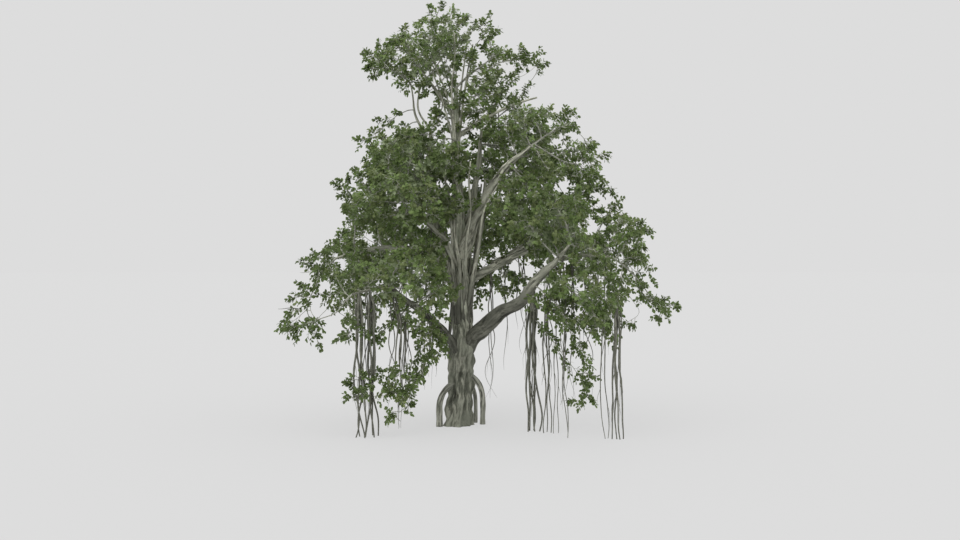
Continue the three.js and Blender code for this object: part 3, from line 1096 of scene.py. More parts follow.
@dataclass
class Growth:
    """Branches that grow, a step at a time, from the limbs towards the room that leaves want.

    Each wanted place pulls the nearest node of the wood. A node that is pulled puts out a new one in
    the mean direction of its pulls, blended with its own heading, and a place is taken once the wood
    comes within reach of it.
    """

    skeleton: Skeleton
    step: float = 0.2
    taken: float = 0.27
    memory: float = 0.45
    jitter: float = 0.16
    lift: float = 0.06
    rounds: int = 70
    most_children: int = 3
    density: float = 34.0
    inset: float = 0.16
    ragged: float = 0.6
    ragged_size: float = 1.0
    tuft: float = 0.26
    tuft_density: float = 42.0
    shell_depth: float = 0.6
    core_share: float = 0.07
    clump_size: float = 0.8
    clump_chance: float = 0.72
    clump_sway: float = 2.5
    least_chance: float = 0.05
    root_margin: float = 0.2
    first_start: float = 0.42
    start_gap: float = 0.6
    trunk_start: float = 8.6
    tip_radius: float = 0.012
    pipe_power: float = 2.3
    thinning: float = 0.97
    side_share: float = 0.6
    batch: int = 256
    shoot_window: float = 0.25
    shoot_points: int = 12
    shoot_slope: tuple[float, float] = (-0.1, 0.05)
    shoot_sway: float = 0.04
    shoot_waves: float = 5
    shoot_radius: float = 0.022
    shoot_taper: float = 0.017
    noise: Noise = own_noise(3)
    rng: np.random.Generator = own_draws(GROWTH_SEED)

    def __post_init__(self) -> None:
        """Grows the crown from the boughs, then the low tufts from the hanging roots."""
        crown = [name for name in self.skeleton.masses if name not in SPROUTING_MASSES]
        self.room = [np.array(corner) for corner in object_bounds()]
        self.spots = np.empty((0, 3))
        self.headings = np.empty((0, 3))
        self.parents = np.empty(0, int)
        self.caps = np.empty(0)
        self.born = np.empty(0, int)
        self.limb_tips: dict[str, int] = {}
        self.round = 0
        self.grow(self.wanted(crown), self.bough_starts())
        self.grow(self.wanted(list(SPROUTING_MASSES)), self.root_starts())
        self.settle()

    def wanted(self, masses: list[str]) -> np.ndarray:
        """Random places in leaf masses, thick near their skins and thin in their cores.

        A smooth noise moves the skin in and out, so that tufts stand out of it between hollows.

        Args:
            masses: the names of the masses.

        Returns:
            The places, in clumps as another noise allows.
        """
        found = []
        for name in masses:
            solid = Solid.of(name)
            tree = solid.tree()
            corners = solid.triangles.reshape(-1, 3)
            low, high = corners.min(axis=0) - self.tuft, corners.max(axis=0) + self.tuft
            count = int(self.density * np.prod(high - low))
            places = low + (high - low) * self.rng.random((count, 3))
            places = places[np.all((places > self.room[0]) & (places < self.room[1]), axis=1)]
            count = len(places)
            depths = np.array([self.depth(tree, place) for place in places.tolist()])
            skin = self.inset + self.ragged * self.noise.at(places / self.ragged_size + 70)
            skin = np.maximum(skin, -self.tuft)
            inner = np.clip((depths - skin) / self.shell_depth, 0, None)
            chance = self.core_share + (1 - self.core_share) * np.exp(-inner**2)
            chance = np.where(depths > skin, chance, 0)
            clumps = self.noise.at(places / self.clump_size)
            clumps = self.clump_chance + self.clump_sway * clumps
            chance = chance * np.clip(clumps, self.least_chance, 1)
            found.append(places[self.rng.random(count) < chance])
        found += [tuft.places(self.tuft_density, self.rng) for tuft in TUFTS if tuft.mass in masses]
        places = np.concatenate(found)
        return places[~in_opening(places)]

    @staticmethod
    def depth(tree: BVHTree, place: list[float]) -> float:
        """How deep a place is under a solid's skin.

        Args:
            tree: the solid's triangles.
            place: the point.

        Returns:
            The depth, negative outside.
        """
        nearest, normal, _, distance = tree.find_nearest(place)
        inside = (nearest - Vector(place)).dot(normal) > 0
        return distance if inside else -distance

    def bough_starts(self) -> list[tuple[str, Spine, np.ndarray]]:
        """The parts of the trunk and boughs that branches may leave.

        Returns:
            A name, a line and distances along it for each.
        """
        starts = []
        for name in ["trunk", *self.skeleton.limbs]:
            if name in BARE_LIMBS:
                continue
            line = self.skeleton.lines[name]
            first = self.trunk_start if name == "trunk" else self.first_start * line.length()
            places = np.arange(first, line.length() - 0.5 * self.start_gap, self.start_gap)
            starts.append((name, line, np.append(places, line.length())))
        return starts

    def root_starts(self) -> list[tuple[str, Spine, np.ndarray]]:
        """The parts of the hanging roots that sprout, where they pass the low masses.

        Returns:
            The same for each, without a name.
        """
        starts = []
        for mass in SPROUTING_MASSES:
            low, high = (np.array(corner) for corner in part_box(mass))
            for name in self.skeleton.hanging:
                line = self.skeleton.lines[name]
                above, below = line.points > low - self.root_margin, line.points < high + self.root_margin
                within = np.all(above & below, axis=1)
                places = line.distances()[within][::2]
                if len(places):
                    starts.append(("", line, places))
        return starts

    def grow(self, wanted: np.ndarray, starts: list[tuple[str, Spine, np.ndarray]]) -> None:
        """Adds the starts as nodes and grows from them until every wanted place is taken.

        Args:
            wanted: the places to reach.
            starts: lines of wood, by name, and the distances along them that may branch.
        """
        first = len(self.spots)
        for name, line, places in starts:
            picked = line.at(places)
            heading = Spine(line.slopes(), line.radii).read(line.distances(), places).points
            caps = self.side_share * picked.radii
            if name:
                caps[-1] = picked.radii[-1]
                self.limb_tips[name] = len(self.spots) + len(places) - 1
            self.add(picked.points, heading, np.full(len(places), -1), caps)
        children = np.zeros(len(self.spots), int)
        nearest, gaps = self.closest(wanted, first)
        for _ in range(self.rounds):
            live = gaps > self.taken
            wanted, nearest, gaps = wanted[live], nearest[live], gaps[live]
            if not len(wanted):
                break
            pulls = np.zeros((len(self.spots), 3))
            np.add.at(pulls, nearest, unit(wanted - self.spots[nearest]))
            pulled = np.bincount(nearest, minlength=len(self.spots)) > 0
            growing = np.flatnonzero(pulled & (children < self.most_children))
            if not len(growing):
                break
            self.round += 1
            fresh = len(self.spots)
            heading = unit(pulls[growing]) + self.memory * self.headings[growing] + self.lift * UP
            heading = unit(heading + self.rng.normal(scale=self.jitter, size=heading.shape))
            spots = self.spots[growing] + self.step * heading
            self.add(spots, heading, growing, np.full(len(growing), np.inf))
            children = np.append(children, np.zeros(len(growing), int))
            children[growing] += 1
            newer, new_gaps = self.closest(wanted, fresh)
            better = new_gaps < gaps
            nearest, gaps = np.where(better, newer, nearest), np.where(better, new_gaps, gaps)

    def add(self, spots: np.ndarray, headings: np.ndarray, parents: np.ndarray, caps: np.ndarray) -> None:
        """Adds nodes to the wood.

        Args:
            spots: where they are.
            headings: which way each grows.
            parents: each one's parent, or -1.
            caps: the most that each radius may be.
        """
        self.spots = np.concatenate([self.spots, spots])
        self.headings = np.concatenate([self.headings, headings])
        self.parents = np.concatenate([self.parents, parents])
        self.caps = np.concatenate([self.caps, caps])
        self.born = np.concatenate([self.born, np.full(len(spots), self.round)])

    def closest(self, places: np.ndarray, first: int) -> tuple[np.ndarray, np.ndarray]:
        """Finds the nearest node to each place, a batch of nodes at a time.

        Args:
            places: points.
            first: the number of the first node that counts.

        Returns:
            The node's number and its distance, for each place.
        """
        best = np.full(len(places), first)
        gaps = np.full(len(places), np.inf)
        for start in range(first, len(self.spots), self.batch):
            nodes = self.spots[start : start + self.batch]
            squares = (places**2).sum(axis=1)[:, None] + (nodes**2).sum(axis=1) - 2 * places @ nodes.T
            picked = squares.argmin(axis=1)
            distance = np.sqrt(np.maximum(squares[np.arange(len(places)), picked], 0))
            closer = distance < gaps
            best[closer] = start + picked[closer]
            gaps[closer] = distance[closer]
        return best, gaps

    def bare_shoots(self) -> list[Spine]:
        """Leafless shoots that run outwards from the crown's outermost wood at some heights.

        Returns:
            Their middle lines.
        """
        shoots = []
        for side, height, length in BARE_SHOOTS:
            near = np.abs(self.spots[:, 2] - height) < self.shoot_window
            outer = np.flatnonzero(near)[np.argmax(side * self.spots[near, 0])]
            start = self.spots[self.parents[outer]]
            share = np.linspace(0, 1, self.shoot_points)[:, None]
            sway = self.shoot_sway * np.sin(self.shoot_waves * share) * UP
            run = length * (share * np.array([side, *self.shoot_slope]) + sway)
            shoots.append(Spine(start + run, self.shoot_radius - self.shoot_taper * share[:, 0]))
        return shoots

    def settle(self) -> None:
        """Works out each node's radius and main child, and smooths the lines that main children make.

        What a node carries is the sum of what its children carry, and its radius to the pipe power is
        in proportion to that.
        """
        count = len(self.spots)
        grown = self.parents >= 0
        carried = np.zeros(count)
        leafless = np.bincount(self.parents[grown], minlength=count) == 0
        carried[leafless] = 1
        for number in range(self.round, 0, -1):
            group = np.flatnonzero((self.born == number) & grown)
            np.add.at(carried, self.parents[group], carried[group])
        self.is_tip = leafless & grown
        self.radii = np.minimum(self.tip_radius * carried ** (1 / self.pipe_power), self.caps)
        for number in range(1, self.round + 1):
            group = np.flatnonzero((self.born == number) & grown)
            most = self.thinning * self.radii[self.parents[group]]
            self.radii[group] = np.minimum(self.radii[group], most)
        order = np.flatnonzero(grown)[np.argsort(carried[grown], kind="stable")]
        self.main_child = np.full(count, -1)
        self.main_child[self.parents[order]] = order
        inner = np.flatnonzero(grown & (self.main_child >= 0))
        for _ in range(2):
            beside = 0.5 * (self.spots[self.parents[inner]] + self.spots[self.main_child[inner]])
            self.spots[inner] = 0.5 * self.spots[inner] + 0.5 * beside
        self.headings[grown] = unit(self.spots[grown] - self.spots[self.parents[grown]])


@dataclass
class Branches:
    """The grown branches as tubes, one ring at each node."""

    growth: Growth
    sides: int = 6
    foot_width: float = 1.35

    def build(self, material: bpy.types.Material) -> bpy.types.Object:
        """All the branches in one mesh.

        A main child carries on its parent's ring. Any other child, and one that leaves a limb, has a
        ring of its own at its parent's place, a third wider than itself. The direction that a ring
        starts from is its parent's, laid flat across its own heading, so the tubes don't twist.

        Args:
            material: the twigs' bark.

        Returns:
            The piece.
        """
        growth = self.growth
        count = len(growth.spots)
        grown = np.flatnonzero(growth.parents >= 0)
        parents = growth.parents[grown]
        leaning = growth.headings.copy()
        has_main = growth.main_child >= 0
        leaning[has_main] = unit(leaning[has_main] + growth.headings[growth.main_child[has_main]])
        across = crosswise(leaning)
        for number in range(1, growth.round + 1):
            group = np.flatnonzero((growth.born == number) & (growth.parents >= 0))
            across[group] = flattened(across[growth.parents[group]], leaning[group])
        rings = self.rings(growth.spots, across, leaning, growth.radii)
        carries_on = (growth.main_child[parents] == grown) & (growth.parents[parents] >= 0)
        own = grown[~carries_on]
        own_parents = growth.parents[own]
        width = np.minimum(growth.radii[own_parents], self.foot_width * growth.radii[own])
        own_across = flattened(across[own], growth.headings[own])
        feet = self.rings(growth.spots[own_parents], own_across, growth.headings[own], width)
        start_ring = growth.parents.copy()
        start_ring[own] = count + np.arange(len(own))
        low = start_ring[grown][:, None] * self.sides + np.arange(self.sides)
        high = grown[:, None] * self.sides + np.arange(self.sides)
        spots = np.concatenate([rings, feet]).reshape(-1, 3)
        spots[:, 2] = np.maximum(spots[:, 2], LOWEST)
        used, renumbered = np.unique(bands(low, high), return_inverse=True)
        LOG.info("%d branch nodes", len(grown))
        return mesh_object("branches", spots[used], renumbered.reshape(-1, 3), material)

    def rings(
        self, spots: np.ndarray, across: np.ndarray, headings: np.ndarray, radii: np.ndarray
    ) -> np.ndarray:
        """A ring of vertices round each spot.

        Args:
            spots: the rings' middles.
            across: the way to each ring's first vertex.
            headings: what each ring is square to.
            radii: the rings' radii.

        Returns:
            The vertices, shape (spots, sides, 3).
        """
        beside = np.cross(headings, across)
        outward = turned(ring_angles(self.sides), across[:, None], beside[:, None])
        return spots[:, None] + radii[:, None, None] * outward


@dataclass
class Sprays:
    """Young shoots on the thin branches: where each starts, its direction, length and bend."""

    growth: Growth
    young: float = 0.0265
    length: tuple[float, float] = (0.26, 0.44)
    spread: tuple[float, float] = (0.5, 1.15)
    tip_spread: float = 0.45
    lift: float = 0.3
    outward: float = 0.35
    sag: float = 0.22
    second_chance: float = 0.62
    tip_shoots: int = 3
    joints: tuple[float, float, float] = (0, 0.55, 1)
    radii: tuple[float, float] = (0.012, 0.0084)
    rng: np.random.Generator = own_draws(SEED + 5)

    def __post_init__(self) -> None:
        """Puts one or two shoots on each young node and three on each tip."""
        growth, rng = self.growth, self.rng
        young = (growth.parents >= 0) & (growth.radii < self.young)
        several = 1 + (rng.random(len(young)) < self.second_chance)
        times = np.where(growth.is_tip, self.tip_shoots, several)
        owners = np.repeat(np.arange(len(young)), np.where(young & ~in_opening(growth.spots), times, 0))
        count = len(owners)
        heading = growth.headings[owners]
        across = unit(np.cross(heading, rng.normal(size=(count, 3))))
        swing = rng.uniform(*self.spread, size=count)
        swing = np.where(growth.is_tip[owners], self.tip_spread * rng.random(count) * 2, swing)[:, None]
        centre = np.average(growth.spots[young], axis=0)
        away = unit((growth.spots[owners] - centre) * np.array([1, 1, 0.6]))
        wished = np.cos(swing) * heading + np.sin(swing) * across + self.lift * UP + self.outward * away
        self.starts = growth.spots[owners]
        self.directions = unit(wished)
        self.away = away
        self.lengths = rng.uniform(*self.length, size=count)
        self.count = count

    def along(self, shares: np.ndarray) -> tuple[np.ndarray, np.ndarray]:
        """Places and directions along every shoot, which sags by the square of the share along it.

        Args:
            shares: from 0 at the foot to 1 at the tip, shape (shoots, places).

        Returns:
            Places and directions, each of shape (shoots, places, 3).
        """
        lengths = self.lengths[:, None, None]
        shares = shares[..., None]
        sag = self.sag * lengths * UP
        places = self.starts[:, None] + lengths * shares * self.directions[:, None] - shares**2 * sag
        slopes = unit(lengths * self.directions[:, None] - 2 * shares * sag)
        return places, slopes

    def build(self, material: bpy.types.Material) -> bpy.types.Object:
        """The shoots as three-sided tapering twigs that end in a point.

        Args:
            material: the twigs' bark.

        Returns:
            The piece.
        """
        shares = np.broadcast_to(np.array(self.joints), (self.count, 3))
        places, slopes = self.along(shares)
        across = crosswise(slopes)
        beside = np.cross(slopes, across)
        rings = []
        for row, radius in enumerate(self.radii):
            outward = turned(ring_angles(3), across[:, row, None], beside[:, row, None])
            rings.append(places[:, row, None] + radius * outward)
        spots = np.concatenate([*rings, places[:, 2:]], axis=1)
        spots[..., 2] = np.maximum(spots[..., 2], LOWEST)
        pattern = []
        for side in range(3):
            after = (side + 1) % 3
            pattern += [(side, after, 3 + after), (side, 3 + after, 3 + side), (3 + side, 3 + after, 6)]
        faces = np.array(pattern)[None] + 7 * np.arange(self.count)[:, None, None]
        return mesh_object("twigs", spots.reshape(-1, 3), faces.reshape(-1, 3), material)


@dataclass
class Leaves:
    """The leaves: folded ovate blades set round each shoot by the golden angle."""

    sprays: Sprays
    most: int = 7
    fewest: int = 5
    length: tuple[float, float] = (0.15, 0.2)
    leafy: float = 0.85
    opening: float = 1.15
    tip_opening: float = 0.25
    opening_step: float = 0.3
    opening_jitter: float = 0.15
    droop: float = 0.25
    facing_up: float = 0.75
    facing_out: float = 0.65
    facing_any: float = 0.5
    bare_share: float = 0.1
    crowd_reach: float = 0.7
    painted_light_weight: float = 1.5
    rng: np.random.Generator = own_draws(SEED + 6)

    OUTLINE = (
        (0, 0, 0), (0.6, 0, -0.05), (1.08, 0, -0.14),
        (0.32, 0.32, 0.03), (0.8, 0.34, 0), (0.32, -0.32, 0.03), (0.8, -0.34, 0),
    )
    FOLDS = ((0, 1, 3), (1, 4, 3), (1, 2, 4), (0, 5, 1), (1, 5, 6), (1, 6, 2))

    def dealt(self) -> np.ndarray:
        """A number from 0 to 1 for each spray, by which it gets its tint.

        It ranks the sprays by how many others are near, with some chance, so that single sprays tend
        to the deep tints as painted shade, and crowded ones, which shade each other, to the pale as
        painted light that makes up for that shade. The chance part is the leaves' own uneven tone.

        Returns:
            One number a spray.
        """
        places = self.sprays.starts - self.sprays.starts.min(axis=0)
        cells = np.floor(places / self.crowd_reach).astype(int) + 1
        counts = np.zeros(cells.max(axis=0) + 2)
        np.add.at(counts, tuple(cells.T), 1)
        for axis in range(3):
            counts = counts + np.roll(counts, 1, axis) + np.roll(counts, -1, axis)
        crowd = counts[tuple(cells.T)].argsort().argsort() / self.sprays.count
        # painted light: crowded sprays rank towards the pale tints, lone ones towards the deep
        light_and_tone_score = self.painted_light_weight * crowd + self.rng.random(self.sprays.count)
        return light_and_tone_score.argsort().argsort() / self.sprays.count

    def build(self, tints: "type[LeafTint]") -> list[bpy.types.Object]:
        """One piece for each tint, with whole sprays dealt out to the tints by their shares.

        A leaf's vertex is its base plus its length times the outline's three numbers, along the
        blade, to its side and out of its face.

        Args:
            tints: the tints.

        Returns:
            The pieces, standing for the leaf masses between them.
        """
        sprays, rng = self.sprays, self.rng
        number = np.broadcast_to(np.arange(self.most), (sprays.count, self.most))
        shares = 1 - number / self.most * self.leafy
        bases, slopes = sprays.along(shares)
        turn = number * GOLDEN_ANGLE + rng.uniform(0, 2 * math.pi, (sprays.count, 1))
        across = crosswise(slopes)
        beside = np.cross(slopes, across)
        opening = self.opening * np.minimum(1, self.tip_opening + self.opening_step * number)
        opening = opening + rng.normal(scale=self.opening_jitter, size=number.shape)
        blade = turned(opening, slopes, turned(turn, across, beside))
        blade = unit(blade - self.droop * UP)
        face = self.facing_up * UP + self.facing_out * sprays.away[:, None]
        face = face + self.facing_any * rng.normal(size=blade.shape)
        face = flattened(face, blade)
        side = np.cross(face, blade)
        length = rng.uniform(*self.length, size=number.shape)[..., None, None]
        outline = np.array(self.OUTLINE)
        spots = bases[..., None, :] + length * (
            outline[:, 0, None] * blade[..., None, :]
            + outline[:, 1, None] * side[..., None, :]
            + outline[:, 2, None] * face[..., None, :]
        )
        kept = number < rng.integers(self.fewest, self.most + 1, (sprays.count, 1))
        kept &= rng.random((sprays.count, 1)) > self.bare_share
        # painted light and shade by crowding, mixed with the leaves' own random tone
        tone_and_painted_light = self.dealt()
        pieces, low = [], 0.0
        for tint in tints:
            finish = tint.value
            chosen = kept & (tone_and_painted_light[:, None] >= low) & (tone_and_painted_light[:, None] < low + finish.share)
            low += finish.share
            blades = spots[chosen]
            blades[..., 2] = np.maximum(blades[..., 2], LOWEST)
            faces = np.array(self.FOLDS)[None] + len(outline) * np.arange(len(blades))[:, None, None]
            name = "leaves_" + tint.name.lower()
            piece = mesh_object(name, blades.reshape(-1, 3), faces.reshape(-1, 3), finish.material(name))
            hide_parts(*sprays.growth.skeleton.masses)
            LOG.info("%s: %d leaves", name, len(blades))
            pieces.append(piece)
        return pieces


# ---------------------------------------------------------------- aerial roots


# Thin roots that hang free under the limbs: how far along the limb, their drop and their number.
FRINGES = {
    "mid_right_bough": ((0.3, 6.2, 3), (0.43, 5.2, 1), (0.58, 3.6, 1)),
    "low_right_bough": ((0.56, 3.4, 1), (0.67, 6.3, 2), (0.8, 5.4, 2), (0.93, 6.8, 2)),
    "far_right_branch": ((0.35, 6.4, 2), (0.6, 6.6, 2), (0.85, 5.4, 1)),
    "low_left_bough": ((0.42, 2.6, 2), (0.55, 3.6, 2), (0.75, 4.6, 2), (0.95, 5.6, 2)),
    "left_hanging_branch": ((0.66, 5.8, 2), (0.95, 5.6, 1)),
    "mid_left_bough": ((0.7, 3.4, 1),),
    "far_left_bough": ((0.45, 3.8, 2), (0.6, 3.0, 2)),
    "back_left_bough": ((0.6, 4.6, 2),),
    "back_bough": ((0.55, 5.0, 2), (0.9, 6.0, 2)),
    "back_right_bough": ((0.7, 5.4, 2),),
    "top_right_branch": ((0.72, 1.1, 1), (0.55, 1.3, 1)),
    "clasping_root": ((0.97, 1.9, 1),),
}


@dataclass
class AerialRoots:
    """The roots that hang from the boughs: each a few strands that cross, part and fork."""

    skeleton: Skeleton
    most_strands: int = 5
    strand_room: float = 0.022
    sides: int = 7
    step: float = 0.09
    hidden: float = 0.25
    limb_beside: float = 0.3
    limb_below: float = 0.2
    limb_above: float = 2.5
    strand_share: float = 0.55
    tip_share: float = 0.65
    free_tip_share: float = 0.12
    tapering: float = 1.5
    ease: float = 0.9
    swing: float = 1.9
    swing_pitch: float = 3.2
    fork_height: float = 3.6
    fork_spread: float = 0.7
    fork_power: float = 1.4
    thin: float = 0.03
    fringe_points: int = 12
    lowest_fringe: float = 0.25
    lens: float = 0.26
    drift: float = 0.15
    drift_pitch: float = 1.9
    scatter: float = 0.9
    turning: float = 0.15
    turn_sway: float = 0.6
    turn_pitch: float = 2.3
    least_forked: float = 2.5
    rootlet_place: tuple[float, float] = (0.45, 0.75)
    rootlet_length: tuple[float, float] = (0.5, 1.3)
    rootlet_least: float = 0.3
    rootlet_clearance: float = 0.15
    rootlet_part: float = 0.16
    rootlet_sway: float = 0.05
    rootlet_share: float = 0.55
    rootlet_taper: float = 0.8
    lane_gap: float = 17
    twist: float = 0.6
    bump_waves: tuple[float, float, float] = (30, 30, 5)
    bumpiness: float = 0.14
    noise: Noise = own_noise(7)
    rng: np.random.Generator = own_draws(SEED + 8)

    def build(self, material: bpy.types.Material) -> bpy.types.Object:
        """All the strands in one mesh.

        Args:
            material: the roots' bark.

        Returns:
            The piece, standing for the hanging roots.
        """
        shell = Shell()
        lane = 0
        for name in self.skeleton.hanging:
            line = self.skeleton.lines[name]
            line = Spine(line.points[::-1], line.radii[::-1])
            grounded = line.points[-1, 2] < 0.05
            line = self.raised(line)
            strands = int(np.clip(round(line.radii.mean() / self.strand_room), 1, self.most_strands))
            for strand in range(strands):
                self.add_strand(shell, line, strand, strands, lane, grounded)
                lane += 1
        for limb, share, drop, strands in ((limb, *row) for limb, rows in FRINGES.items() for row in rows):
            top = self.skeleton.lines[limb]
            start = top.at(np.array([share * top.length()])).points[0]
            end = np.array([start[0], start[1], max(self.lowest_fringe, start[2] - drop)])
            radii = np.full(self.fringe_points, self.thin / self.strand_share)
            line = Spine(np.linspace(start, end, self.fringe_points), radii)
            for strand in range(strands):
                self.add_strand(shell, line, strand, strands, lane, False, strands > 1)
                lane += 1
        piece = shell.built("root_bark", material)
        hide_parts(*self.skeleton.hanging)
        return piece

    def raised(self, line: Spine) -> Spine:
        """A hanging line run on upwards, to a limb above it or a little into the leaves.

        Args:
            line: the root's middle line, top first.

        Returns:
            The line with one more point at its top.
        """
        top = line.points[0]
        rise = self.hidden * UP
        for name in self.skeleton.limbs:
            gaps = self.skeleton.lines[name].points - top
            beside = np.abs(gaps[:, :2]).max(axis=1) < self.limb_beside
            near = gaps[beside & (gaps[:, 2] > -self.limb_below)]
            if len(near) and near[0, 2] < self.limb_above:
                rise = near[np.argmin(np.abs(near[:, :2]).sum(axis=1))]
        return Spine(np.concatenate([[top + rise], line.points]), np.append(line.radii[0], line.radii))

    def add_strand(
        self, shell: Shell, line: Spine, strand: int, strands: int, lane: int, grounded: bool,
        crosses: bool = False,
    ) -> None:
        """Adds one strand, and a thin rootlet that leaves it low down.

        It swings about the bundle's middle line: a slow turn, a sine of its own pitch and noise, each
        as a share of the bundle's radius, and wider below the height where the strands fork. Strands
        that cross swing through the middle line itself, so that they meet and part again.

        Args:
            shell: what it is added to.
            line: the bundle's middle line, top first.
            strand: which of the bundle's strands it is.
            strands: how many there are.
            lane: a number of its own.
            grounded: whether it ends on the ground, and not in a free tip.
            crosses: whether it crosses its neighbours.
        """
        line = line.resampled(self.step, 2)
        along = line.distances()
        height = line.points[:, 2]
        bundle = line.radii
        spread = 1 + self.fork_spread * np.clip(1 - height / self.fork_height, 0, 1) ** self.fork_power
        place = 2 * math.pi * strand / strands
        turn = place + self.scatter * math.sin(lane - strand) + self.turning * along
        turn = turn + self.turn_sway * self.noise.along(along / self.turn_pitch, lane)
        sway = np.sin(2 * math.pi * along / (self.swing_pitch * (1 + 0.25 * math.sin(lane))) + place)
        wide = bundle * self.swing * spread * (0.85 + 0.3 * sway)
        if crosses:
            wide = self.lens * np.sin(2 * math.pi * along / self.swing_pitch + 0.5 * (lane - strand))
            wide = wide * (0.4 + 0.6 * along / along[-1])
        ease = 1 - np.exp(-along / self.ease)
        shift = np.stack([np.cos(turn), np.sin(turn), 0 * turn], axis=1) * (wide * ease)[:, None]
        drift = [self.noise.along(along / self.drift_pitch, lane + apart) for apart in (0.3, 0.6)]
        drift = np.stack([*drift, 0 * along], axis=1)
        share = along / along[-1]
        points = line.points + shift + self.drift * drift * (ease * (0.6 + 0.8 * share))[:, None]
        last = self.tip_share if grounded else self.free_tip_share
        radius = bundle * self.strand_share * (1 - (1 - last) * share**self.tapering)
        strand_line = Spine(points, radius)
        self.add_tube(shell, strand_line, lane)
        if along[-1] > self.least_forked:
            place = self.rng.uniform(*self.rootlet_place) * along[-1]
            self.add_rootlet(shell, strand_line, place, lane)

    def add_rootlet(self, shell: Shell, line: Spine, place: float, lane: int) -> None:
        """Adds a thin root that parts from a strand and hangs beside it.

        Args:
            shell: what it is added to.
            line: the strand's middle line.
            place: how far along the strand it parts.
            lane: the strand's own number.
        """
        start = line.at(np.array([place]))
        room = start.points[0, 2] - self.rootlet_clearance
        length = min(self.rng.uniform(*self.rootlet_length), room)
        if length < self.rootlet_least:
            return
        along = np.linspace(0, length, max(5, round(length / self.step)))
        angle = self.rng.uniform(0, 2 * math.pi)
        away = np.array([math.cos(angle), math.sin(angle), 0])
        part = self.rootlet_part * (1 - np.exp(-along / 0.35))
        part = part + self.rootlet_sway * self.noise.along(along / 0.6, lane + 0.9)
        points = start.points[0] + part[:, None] * away - along[:, None] * UP
        radius = self.rootlet_share * start.radii[0] * (1 - self.rootlet_taper * along / length)
        self.add_tube(shell, Spine(points, radius), lane + 0.5)

    def add_tube(self, shell: Shell, line: Spine, lane: float) -> None:
        """Adds a round tube along a line, above the ground, with a little noise on its skin.

        Args:
            shell: what it is added to.
            line: the tube's middle line.
            lane: a number of its own.
        """
        angles = ring_angles(self.sides)[None]
        along = line.distances()[:, None]
        radius = line.radii[:, None]
        grain = grain_of(angles, radius, along + self.lane_gap * lane, self.twist)
        bumps = self.noise.at(grain * np.array(self.bump_waves))
        spots = line.tube(angles, radius * (1 + self.bumpiness * bumps))
        spots[..., 2] = np.maximum(spots[..., 2], 0)
        # painted shade in the hollows and painted light on the bumps, by the relief
        shell.add_tube(spots, np.clip(0.5 + 0.8 * bumps, 0, 1), grain)


# ---------------------------------------------------------------- finishes

Colour = tuple[float, float, float]
Socket = bpy.types.NodeSocket


def feed(tree: bpy.types.NodeTree, taker: bpy.types.Node, given: dict[str | int, object]) -> None:
    """Links each of a node's inputs, by label or number, to a socket or sets it to a value."""
    for label, value in given.items():
        if isinstance(value, Socket):
            tree.links.new(value, taker.inputs[label])
        else:
            taker.inputs[label].default_value = value


def node(
    tree: bpy.types.NodeTree, kind: str, given: dict[str | int, object], output: str | int = 0,
    **options: object,
) -> Socket:
    """Adds a shader node.

    Args:
        tree: what it is added to.
        kind: its type, less the word ShaderNode.
        given: sockets or values for its inputs.
        output: the label or number of the wanted output.
        options: the node's own options.

    Returns:
        The output.
    """
    made = tree.nodes.new("ShaderNode" + kind)
    for option, value in options.items():
        setattr(made, option, value)
    feed(tree, made, given)
    return made.outputs[output]


def sum_of(tree: bpy.types.NodeTree, first: object, second: object) -> Socket:
    """The sum of two sockets or numbers."""
    return node(tree, "Math", {0: first, 1: second}, operation="ADD")


def product_of(tree: bpy.types.NodeTree, first: object, second: object, more: float = 0.0) -> Socket:
    """The product of two sockets or numbers, and some more."""
    return node(tree, "Math", {0: first, 1: second, 2: more}, operation="MULTIPLY_ADD")


def spread(
    tree: bpy.types.NodeTree, value: Socket, low: object, high: object,
    least: float = 0.0, most: float = 1.0,
) -> Socket:
    """A number from least to most, as a value goes from low to high."""
    ends = {"From Min": low, "From Max": high, "To Min": least, "To Max": most}
    return node(tree, "MapRange", {"Value": value, **ends})


def mixed(tree: bpy.types.NodeTree, share: object, low: object, high: object, **options: object) -> Socket:
    """A colour that is a share of the way between two."""
    return node(tree, "Mix", {"Factor": share, 6: low, 7: high}, 2, data_type="RGBA", **options)


def waves(tree: bpy.types.NodeTree, place: Socket, scale: float, detail: float, stretch: Colour) -> Socket:
    """Noise from 0 to 1 at a place, whose waves are stretched by scaling the place first.

    Args:
        tree: what the nodes are added to.
        place: where the noise is read.
        scale: about how many waves a metre has.
        detail: how many finer layers it has.
        stretch: what the place's three numbers are multiplied by.

    Returns:
        The noise.
    """
    stretched = node(tree, "Mapping", {"Vector": place, "Scale": stretch})
    given = {"Vector": stretched, "Scale": scale, "Detail": detail, "Roughness": 0.6}
    return node(tree, "TexNoise", given, "Fac")


def bump(tree: bpy.types.NodeTree, height: Socket, depth: float, strength: float) -> Socket:
    """A surface's directions, as relief of a depth in metres moves them."""
    return node(tree, "Bump", {"Height": height, "Distance": depth, "Strength": strength})


def new_material(name: str) -> tuple[bpy.types.Material, bpy.types.ShaderNode]:
    """An empty material with nodes.

    Args:
        name: its name.

    Returns:
        The material and its Principled shader.
    """
    material = bpy.data.materials.new(name)
    material.use_nodes = True
    return material, material.node_tree.nodes["Principled BSDF"]


